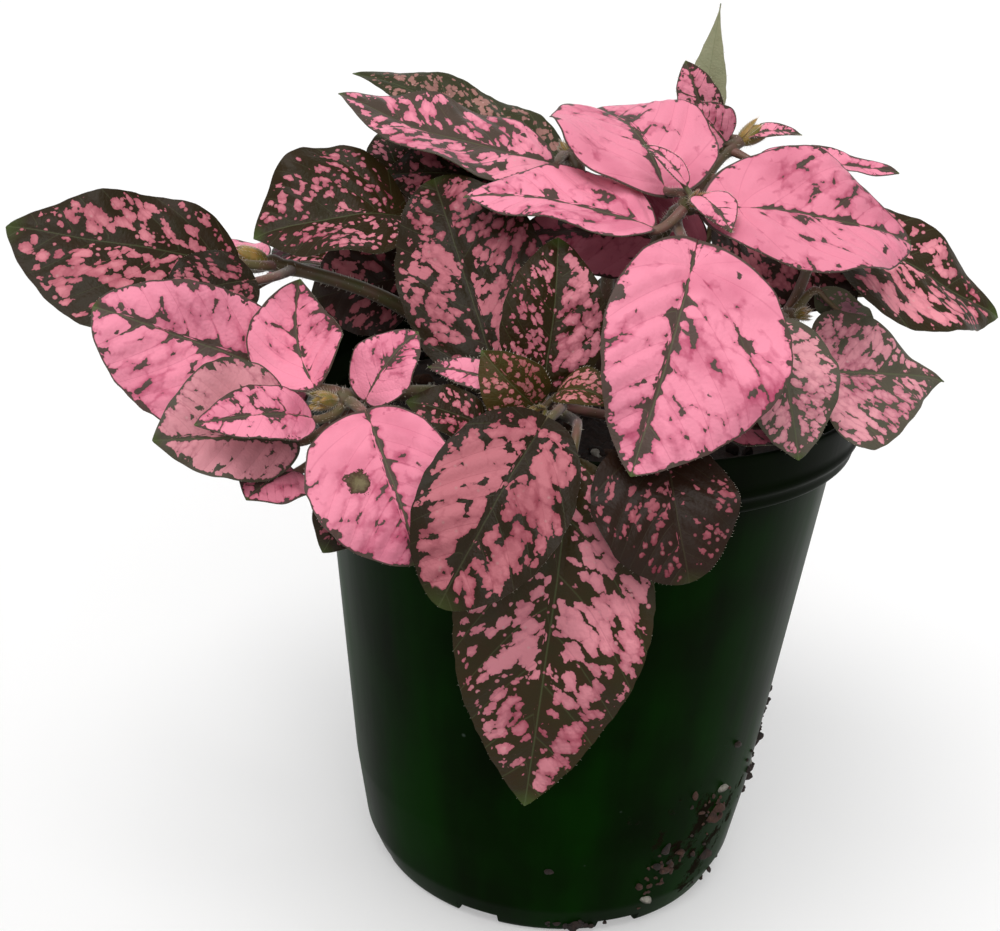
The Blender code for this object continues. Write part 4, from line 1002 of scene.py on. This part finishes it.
def turned(name, profile, steps):
    """A closed turned mesh, as points in mm and faces, from its profile."""
    mesh = bpy.data.meshes.new(name)
    points = [(r * MM, 0.0, z * MM) for r, z in profile]
    mesh.from_pydata(points, [(k, k + 1) for k in range(len(points) - 1)], [])
    piece = add_object(name, mesh)
    screw = piece.modifiers.new("turn", "SCREW")
    screw.steps = steps
    screw.render_steps = steps
    screw.use_merge_vertices = True
    screw.merge_threshold = 0.00001
    return piece


def settle(piece):
    """Applies a piece's modifiers to its mesh."""
    graph = bpy.context.evaluated_depsgraph_get()
    mesh = bpy.data.meshes.new_from_object(piece.evaluated_get(graph))
    piece.modifiers.clear()
    piece.data = mesh


def rounded_profile(corners, radius):
    """Points of an outline whose inner corners are rounded off."""
    points = [corners[0]]
    for before, corner, after in zip(corners[:-2], corners[1:-1], corners[2:]):
        before, corner, after = (np.array(p, float) for p in (before, corner, after))
        back = min(radius, 0.45 * np.linalg.norm(corner - before))
        ahead = min(radius, 0.45 * np.linalg.norm(after - corner))
        start = corner + unit(before - corner) * back
        end = corner + unit(after - corner) * ahead
        for t in (0.0, 0.33, 0.67, 1.0):
            middle = (1 - t) ** 2 * start + 2 * t * (1 - t) * corner + t ** 2 * end
            points.append(tuple(middle))
    points.append(corners[-1])
    return points


def pot_outline(wall):
    """Inner side upward, over the rim, then the outer side down."""
    inner = [(0.0, POT_FLOOR), (FOOT_RADIUS - 1.0, POT_FLOOR),
             (HEEL_RADIUS - wall, HEEL_Z), (KNEE_RADIUS - wall, KNEE_Z),
             (NECK_RADIUS - wall, COLLAR_BOTTOM),
             (RIM_RADIUS - 1.4 - wall, COLLAR_BOTTOM + 2.2),
             (RIM_RADIUS - wall, POT_HEIGHT - 0.8)]
    rim = [(RIM_RADIUS - 0.7 * wall, POT_HEIGHT), (RIM_RADIUS - 0.1, POT_HEIGHT),
           (RIM_RADIUS, POT_HEIGHT - 0.8)]
    bead = [(RIM_RADIUS - 0.7, BEAD_Z + 1.2), (RIM_RADIUS - 0.25, BEAD_Z + 0.4),
            (RIM_RADIUS - 0.3, BEAD_Z - 0.4), (RIM_RADIUS - 1.1, BEAD_Z - 1.2)]
    outer = [(RIM_RADIUS - 1.2, COLLAR_BOTTOM), (NECK_RADIUS, COLLAR_BOTTOM - 0.6),
             (KNEE_RADIUS, KNEE_Z), (HEEL_RADIUS, HEEL_Z),
             (FOOT_RADIUS + 0.5, 1.0), (FOOT_RADIUS - 0.6, 0.0), (0.0, 0.0)]
    return inner + rim + bead + outer


def cut_notches(pot):
    """Cuts the drainage notches round the pot's foot."""
    cutters = []
    for k in range(NOTCHES):
        angle = 2.0 * math.pi * (k + 0.5) / NOTCHES
        box = bmesh.new()
        bmesh.ops.create_cube(box, size=1.0)
        place = Matrix.Rotation(angle, 4, "Z") @ Matrix.Translation(
            ((FOOT_RADIUS - 1.5) * MM, 0.0, 0.0))
        size = (NOTCH_REACH * MM, NOTCH_WIDTH * MM, 2.0 * NOTCH_HEIGHT * MM, 1.0)
        box.transform(place @ Matrix.Diagonal(size))
        mesh = bpy.data.meshes.new("notch")
        box.to_mesh(mesh)
        box.free()
        cutter = add_object("notch_%d" % k, mesh)
        cut = pot.modifiers.new(cutter.name, "BOOLEAN")
        cut.operation = "DIFFERENCE"
        cut.solver = "EXACT"
        cut.object = cutter
        cutters.append(cutter)
    settle(pot)
    for cutter in cutters:
        bpy.data.objects.remove(cutter)


def clod(rng, centre, size, flat):
    """One rough crumb: a dented ball, flattened by a share."""
    ball = bmesh.new()
    bmesh.ops.create_icosphere(ball, subdivisions=2, radius=1.0)
    points = np.array([vertex.co for vertex in ball.verts])
    faces = [tuple(vertex.index for vertex in face.verts) for face in ball.faces]
    ball.free()
    ways = unit(rng.normal(size=(4, 3)))
    dents = sum(0.16 * np.sin(3.1 * (points @ way) + turn)
                for way, turn in zip(ways, rng.uniform(0.0, FULL_TURN, 4)))
    points = points * (1.0 + dents)[:, None] * np.array([1.0, rng.uniform(0.5, 1.0), flat])
    turn = np.array(Matrix.Rotation(rng.uniform(0.0, FULL_TURN), 3, unit(rng.normal(size=3))))
    return {"points": points @ turn.T * size + centre, "faces": faces}


# Operators

class POLKA_OT_pot(bpy.types.Operator):
    """Make the nursery pot with its collar, bead and drainage notches"""
    bl_idname = "polka.pot"
    bl_label = "Nursery Pot"

    def execute(self, context):
        settings = context.scene.polka_pot
        wall = settings.wall / MM
        pot = turned("nursery_pot", rounded_profile(pot_outline(wall), 0.8), POT_STEPS)
        settle(pot)
        cut_notches(pot)
        pot.data.polygons.foreach_set("use_smooth", [True] * len(pot.data.polygons))
        pot.data.set_sharp_from_angle(angle=math.radians(35.0))
        pot.data.materials.clear()
        pot.data.materials.append(plastic_material(settings.plastic))
        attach(pot, BODY)
        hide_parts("pot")
        rng = np.random.default_rng(11)
        shells = []
        for turn, level, wide, tall, share, pale, tone in CRUMB_SPOTS:
            for k in range(int(share * settings.crumbs)):
                angle = math.radians(turn + rng.normal() * wide)
                height = max(level + rng.normal() * tall, 2.0)
                radius = wall_radius(height)
                centre = (radius * math.cos(angle), radius * math.sin(angle), height)
                size = 0.4 + 1.3 * rng.random() ** 3
                shells.append({**clod(rng, np.array(centre), size, 0.7),
                               "slot": 1 if rng.random() < pale else tone})
        peat = soil_material("peat_crumbs", "#17100D", "#33221B", 1.6)
        grit = soil_material("perlite_grit", "#7E7A70", "#B4AEA2", 1.0)
        bark = soil_material("bark_crumbs", "#2C1C16", "#573A2F", 1.6)
        make_piece("pot_crumbs", shells, [peat, grit, bark], [])
        return {"FINISHED"}


class POLKA_OT_soil(bpy.types.Operator):
    """Make the potting mix with its bark and grit"""
    bl_idname = "polka.soil"
    bl_label = "Potting Mix"

    def execute(self, context):
        settings = context.scene.polka_pot
        rng = np.random.default_rng(7)
        top = wall_radius(SOIL_TOP - 2.0) - WALL - GAP
        rings = [top * (k / SOIL_RINGS) ** 0.9 for k in range(1, SOIL_RINGS + 1)]
        steps = SOIL_STEPS
        angles = np.arange(steps) * 2.0 * math.pi / steps
        rows = []
        for r in rings:
            x, y = r * np.cos(angles), r * np.sin(angles)
            level = max(0.0, 1.0 - (r / top) ** 6)
            bump = SOIL_BUMP * (0.5 * np.sin(0.21 * x + 0.6) * np.cos(0.17 * y)
                                + 0.3 * np.sin(0.43 * y - 0.29 * x)
                                + 0.2 * np.cos(0.61 * x + 0.37 * y))
            rough = 0.5 * (np.sin(1.3 * x + 0.9 * y) * np.sin(1.1 * y - 0.7 * x + 1.0)
                           + 0.6 * rng.normal(size=steps) * 0.7)
            z = SOIL_TOP - 2.0 * (r / top) ** 8 + (bump + rough) * level
            rows.append(np.stack([x, y, z], axis=1))
        for z in (SOIL_TOP - 8.0, KNEE_Z, HEEL_Z + GAP, POT_FLOOR + GAP):
            r = wall_radius(z) - WALL - GAP
            rows.append(np.stack([r * np.cos(angles), r * np.sin(angles),
                                  np.full(steps, z)], axis=1))
        points = np.vstack([[[0.0, 0.0, SOIL_TOP + 0.4]]] + rows
                           + [[[0.0, 0.0, POT_FLOOR + GAP]]])
        faces = disc_faces(len(rows), steps)
        low = 1 + (len(rows) - 1) * steps
        last = len(points) - 1
        faces += [(low + k, last, low + (k + 1) % steps) for k in range(steps)]
        shells = [{"points": points, "faces": faces, "slot": 0}]
        for k in range(settings.clods):
            r = top * math.sqrt(rng.random()) * 0.95
            angle = rng.uniform(0.0, 2.0 * math.pi)
            centre = np.array([r * math.cos(angle), r * math.sin(angle), SOIL_TOP + 0.2])
            kind = rng.random()
            size = 0.7 + 1.6 * rng.random() ** 2
            # A quarter of them is small round grit, the rest flat bark and peat
            size, flat, slot = ((0.6 * size, 0.9, 2) if kind < 0.25
                                else (size, 0.45, 1 if kind < 0.7 else 0))
            shells.append({**clod(rng, centre, size, flat), "slot": slot})
        peat = soil_material("potting_mix_peat", "#140D0A", "#35241C", 1.4)
        bark = soil_material("pine_bark_chips", "#2C1B12", "#5A3A28", 1.8)
        grit = soil_material("perlite", "#8E8B80", "#CBC8BD", 0.9)
        make_piece("potting_mix", shells, [peat, bark, grit], ["soil"])
        return {"FINISHED"}


class POLKA_OT_stems(bpy.types.Operator):
    """Make the stems with their buds, down and young leaves"""
    bl_idname = "polka.stems"
    bl_label = "Stems"

    def execute(self, context):
        settings = context.scene.polka_leaves
        skin = stem_material("downy_green_stem", "#4C4A22", "#66493A", 0.25)
        bud_skin = stem_material("downy_bud", "#6F6A22", "#A8803E", 0.6)
        down = down_material()
        hair = settings.hair / MM
        for order, name in enumerate(STEMS):
            rng = np.random.default_rng(300 + order)
            foot = STEMS[name][0]
            heights = np.linspace(0.0, 1.0, STEM_STATIONS)
            line = cubic(stem_curve(name), heights)
            low = np.array([[foot[0], foot[1], SOIL_TOP - HOLE_DEPTH + GAP]])
            line = np.vstack([low, line])
            radii = STEM_RADIUS + (STEM_TOP_RADIUS - STEM_RADIUS) * heights
            for height in leaf_heights(name):
                radii = radii + NODE_SWELLING * np.exp(-((heights - height) / 0.025) ** 2)
            radii = np.concatenate([[STEM_RADIUS], np.minimum(radii, 1.25 * STEM_RADIUS)])
            shells = [tube(line, radii, 14)]
            picks = rng.integers(6, len(line) - 1, STEM_HAIRS)
            angles = rng.uniform(0.0, FULL_TURN, STEM_HAIRS)
            along = unit(np.gradient(line, axis=0))[picks]
            side = unit(np.cross(along, [0.31, 0.2, 0.93]))
            ways = (np.cos(angles)[:, None] * side
                    + np.sin(angles)[:, None] * np.cross(along, side))
            slide = along * rng.uniform(-0.6, 0.6, STEM_HAIRS)[:, None]
            shells.append(self.down(line[picks] + slide + ways * (radii[picks] * 0.95)[:, None],
                                    ways + 0.35 * along, rng, hair))
            shells += self.bud(name, rng, hair)
            make_piece(name.replace("stem", "shoot"), shells, [skin, bud_skin, down],
                       [name])
            for k, row in enumerate(YOUNG.get(name, ())):
                self.young(name, k, row, settings, skin, down, rng)
        return {"FINISHED"}

    def down(self, roots, ways, rng, length):
        """A shell of fine hairs."""
        return hairs(roots, ways, length * rng.uniform(0.5, 1.2, len(roots)), 0.045)

    def bud(self, name, rng, hair):
        """Small folded bracts round a stem's growing tip."""
        tip, along, radius = stem_point(name, 1.0)
        side = unit(np.cross(along, [0.3, 0.9, 0.2]))
        other = np.cross(along, side)
        shells = []
        t = np.linspace(0.0, 1.0, 12)
        size = BUD_SIZES.get(name, 1.0)
        girth = size * (0.05 + 2.7 * t ** 0.6 * (1.0 - t) ** 0.9)
        for k in range(BRACTS):
            angle = k * GOLDEN_TURN
            out = math.cos(angle) * side + math.sin(angle) * other
            length = size * (4.9 - 0.25 * k)
            lean = size * (0.85 - 0.10 * k)
            root = tip + out * 0.35 * size + along * (0.12 * k - 0.4) * size
            line = [root, root + along * 0.3 * length + out * 0.7 * lean,
                    root + along * 0.7 * length + out * 1.6 * lean,
                    root + along * length + out * 1.7 * lean]
            bract = tube(cubic(line, t), girth, 10, 1, 0.45, out)
            roots = bract["points"][::2]
            shells += [bract, self.down(roots, roots - root - along * 0.2 * length, rng, hair)]
        return shells

    def young(self, stem, number, row, settings, skin, down, rng):
        """One young leaf at a stem's tip."""
        base, tip, width, face, arch, fold, form, kind = row
        blade = blade_row(base, tip, width, face, arch, fold=fold, form=form)
        seed = 60 + 5 * sorted(YOUNG).index(stem) + number
        shell = blade_shell(blade, seed, settings)
        foot = stem_point(stem, 1.0)
        stalk = petiole_shell(blade, shell, foot[0] + foot[1] * 0.6,
                              unit(np.array(base) - foot[0]), 0.7)
        keep = rng.random(len(shell["rim"])) < 0.6
        fuzz = self.down(shell["rim"][keep], shell["rim_ways"][keep], rng, 0.5)
        make_piece("young_%s_%d" % (stem[-1], number), [shell, stalk, fuzz],
                   [blade_material_of(kind), skin, down], [stem])


class POLKA_OT_leaves(bpy.types.Operator):
    """Make every grown leaf with its petiole, veins and pattern"""
    bl_idname = "polka.leaves"
    bl_label = "Leaves"

    def execute(self, context):
        settings = context.scene.polka_leaves
        skin = stem_material("petiole_skin", "#5C512C", "#7C4F48", 0.2)
        down = down_material()
        hair = settings.hair / MM
        for order, (name, row) in enumerate(LEAVES.items()):
            rng = np.random.default_rng(600 + order)
            stem, height, base, tip, width, face = row[:6]
            blade = blade_row(base, tip, width, face, *row[6:13],
                              blush=BLUSH.get(name, (0.0, 0.0, 0.0)),
                              depth=TONE_AND_SHADE.get(name, 1.0), spot=DRIED.get(name))
            shell = blade_shell(blade, order, settings)
            centre, axis, radius = stem_point(stem, height)
            away = shell["points"][0] - centre
            away = unit(away - axis * np.dot(away, axis))
            stalk = petiole_shell(blade, shell, centre + away * (radius * 0.6),
                                  unit(away + 0.4 * axis), 1.05)
            keep = rng.random(len(shell["rim"])) < 0.45
            lengths = 0.35 * hair * rng.uniform(0.3, 1.2, keep.sum())
            fuzz = hairs(shell["rim"][keep], shell["rim_ways"][keep], lengths, 0.02)
            picks = rng.integers(1, STALK_STATIONS, STALK_HAIRS)
            ways = unit(rng.normal(size=(STALK_HAIRS, 3)))
            roots = stalk["line"][picks] + ways * (0.8 * stalk["radii"][picks])[:, None]
            stalk_fuzz = hairs(roots, ways, hair * rng.uniform(0.4, 1.0, STALK_HAIRS), 0.04)
            make_piece(name.replace("leaf", "blade"), [shell, stalk, fuzz, stalk_fuzz],
                       [blade_material_of(row[13]), skin, down], [name])
        return {"FINISHED"}


class POLKA_OT_stage(bpy.types.Operator):
    """Make the pale floor, the soft lights and the camera"""
    bl_idname = "polka.stage"
    bl_label = "Stage"

    def execute(self, context):
        settings = context.scene.polka_stage
        self.floor(settings)
        self.lights()
        self.camera(context.scene, settings)
        context.scene.view_settings.view_transform = "Standard"
        return {"FINISHED"}

    def floor(self, settings):
        """A wide pale floor that sweeps up all round into a backdrop."""
        rings = [(0.25 * FLOOR_FLAT * k, 0.0) for k in range(1, 5)]
        rings += [(FLOOR_FLAT + FLOOR_SWEEP * math.sin(a), FLOOR_SWEEP - FLOOR_SWEEP * math.cos(a))
                  for a in np.linspace(0.1, 0.5 * math.pi, 16)]
        rings.append((FLOOR_FLAT + FLOOR_SWEEP, BACKDROP_HEIGHT))
        angles = np.arange(FLOOR_STEPS) * 2.0 * math.pi / FLOOR_STEPS
        points = [(0.0, 0.0, 0.0)] + [(r * math.cos(a), r * math.sin(a), z)
                                      for r, z in rings for a in angles]
        faces = disc_faces(len(rings), FLOOR_STEPS)
        mesh = bpy.data.meshes.new("floor")
        mesh.from_pydata(points, [], faces)
        mesh.polygons.foreach_set("use_smooth", [True] * len(faces))
        floor = add_object("floor", mesh)
        material, tree = new_material("matt_painted_board")
        shade(tree, {"Base Color": settings.floor, "Roughness": 0.9,
                     "Emission Color": "#FFFFFF", "Emission Strength": FLOOR_GLOW})
        mesh.materials.append(material)
        # The bright floor mirrors in the pot's sides but, as on a cut-out, it
        # throws no soft light up at the plant, and its sides hide no light
        floor.visible_diffuse = False
        floor.visible_shadow = False

    def lights(self):
        """Soft light from above, less from the horizon, little from below."""
        world = bpy.data.worlds.new("studio")
        bpy.context.scene.world = world
        world.use_nodes = True
        tree = world.node_tree
        tree.nodes.clear()
        way = add_node(tree, "TexCoord", out="Generated")
        height = add_node(tree, "SeparateXYZ", {0: way}, 2)
        lift = add_node(tree, "MapRange", {0: height, 1: -0.2, 2: 0.9, 3: 0.07, 4: 0.60},
                        **SMOOTH_RANGE)
        glow = add_node(tree, "Background", {"Color": "#F7F8FA", "Strength": lift})
        add_node(tree, "OutputWorld", {"Surface": glow})
        for name, (place, strength, angle) in SUNS.items():
            light = bpy.data.lights.new(name, "SUN")
            light.angle = math.radians(angle)
            light.energy = strength
            sun = add_object(name, light)
            sun.location = place
            sun.rotation_euler = (-Vector(place)).to_track_quat("-Z", "Y").to_euler()

    def camera(self, scene, settings):
        """The camera at the photograph's angle."""
        camera = bpy.data.cameras.new("camera")
        camera.lens = settings.lens
        camera.sensor_width = 36.0
        camera.clip_start = 0.01
        holder = add_object("camera", camera)
        lift = settings.elevation
        back = Vector((0.0, -math.cos(lift), math.sin(lift)))
        place = Vector(settings.target) + back * settings.distance
        turn = Matrix.Rotation(math.radians(90.0) - lift, 4, "X")
        roll = Matrix.Rotation(settings.roll, 4, back)
        holder.matrix_world = Matrix.Translation(place) @ roll @ turn
        scene.camera = holder


class POLKA_PT_panel(bpy.types.Panel):
    """Lists the steps that build the plant"""
    bl_idname = "POLKA_PT_panel"
    bl_label = "Polka Dot Plant"
    bl_space_type = "VIEW_3D"
    bl_region_type = "UI"
    bl_category = "Plant"

    def draw(self, context):
        for operator in OPERATORS:
            self.layout.operator(operator.bl_idname)
        for group in ("polka_pot", "polka_leaves", "polka_stage"):
            settings = getattr(context.scene, group)
            for key in settings.bl_rna.properties.keys():
                if key not in {"rna_type", "name"}:
                    self.layout.prop(settings, key)


OPERATORS = (POLKA_OT_pot, POLKA_OT_soil, POLKA_OT_stems, POLKA_OT_leaves, POLKA_OT_stage)
GROUPS = {"polka_pot": POLKA_PG_pot, "polka_leaves": POLKA_PG_leaves,
          "polka_stage": POLKA_PG_stage}


def register():
    """Registers the settings, the operators and the panel."""
    for key, group in GROUPS.items():
        bpy.utils.register_class(group)
        setattr(bpy.types.Scene, key, bpy.props.PointerProperty(type=group))
    for item in OPERATORS + (POLKA_PT_panel,):
        bpy.utils.register_class(item)


def unregister():
    """Takes them away again."""
    for item in reversed(OPERATORS + (POLKA_PT_panel,)):
        bpy.utils.unregister_class(item)
    for key, group in GROUPS.items():
        delattr(bpy.types.Scene, key)
        bpy.utils.unregister_class(group)


def main():
    """Builds the plant piece by piece."""
    register()
    bpy.ops.polka.pot()
    bpy.ops.polka.soil()
    bpy.ops.polka.stems()
    bpy.ops.polka.leaves()
    bpy.ops.polka.stage()


if __name__ == "__main__":
    main()
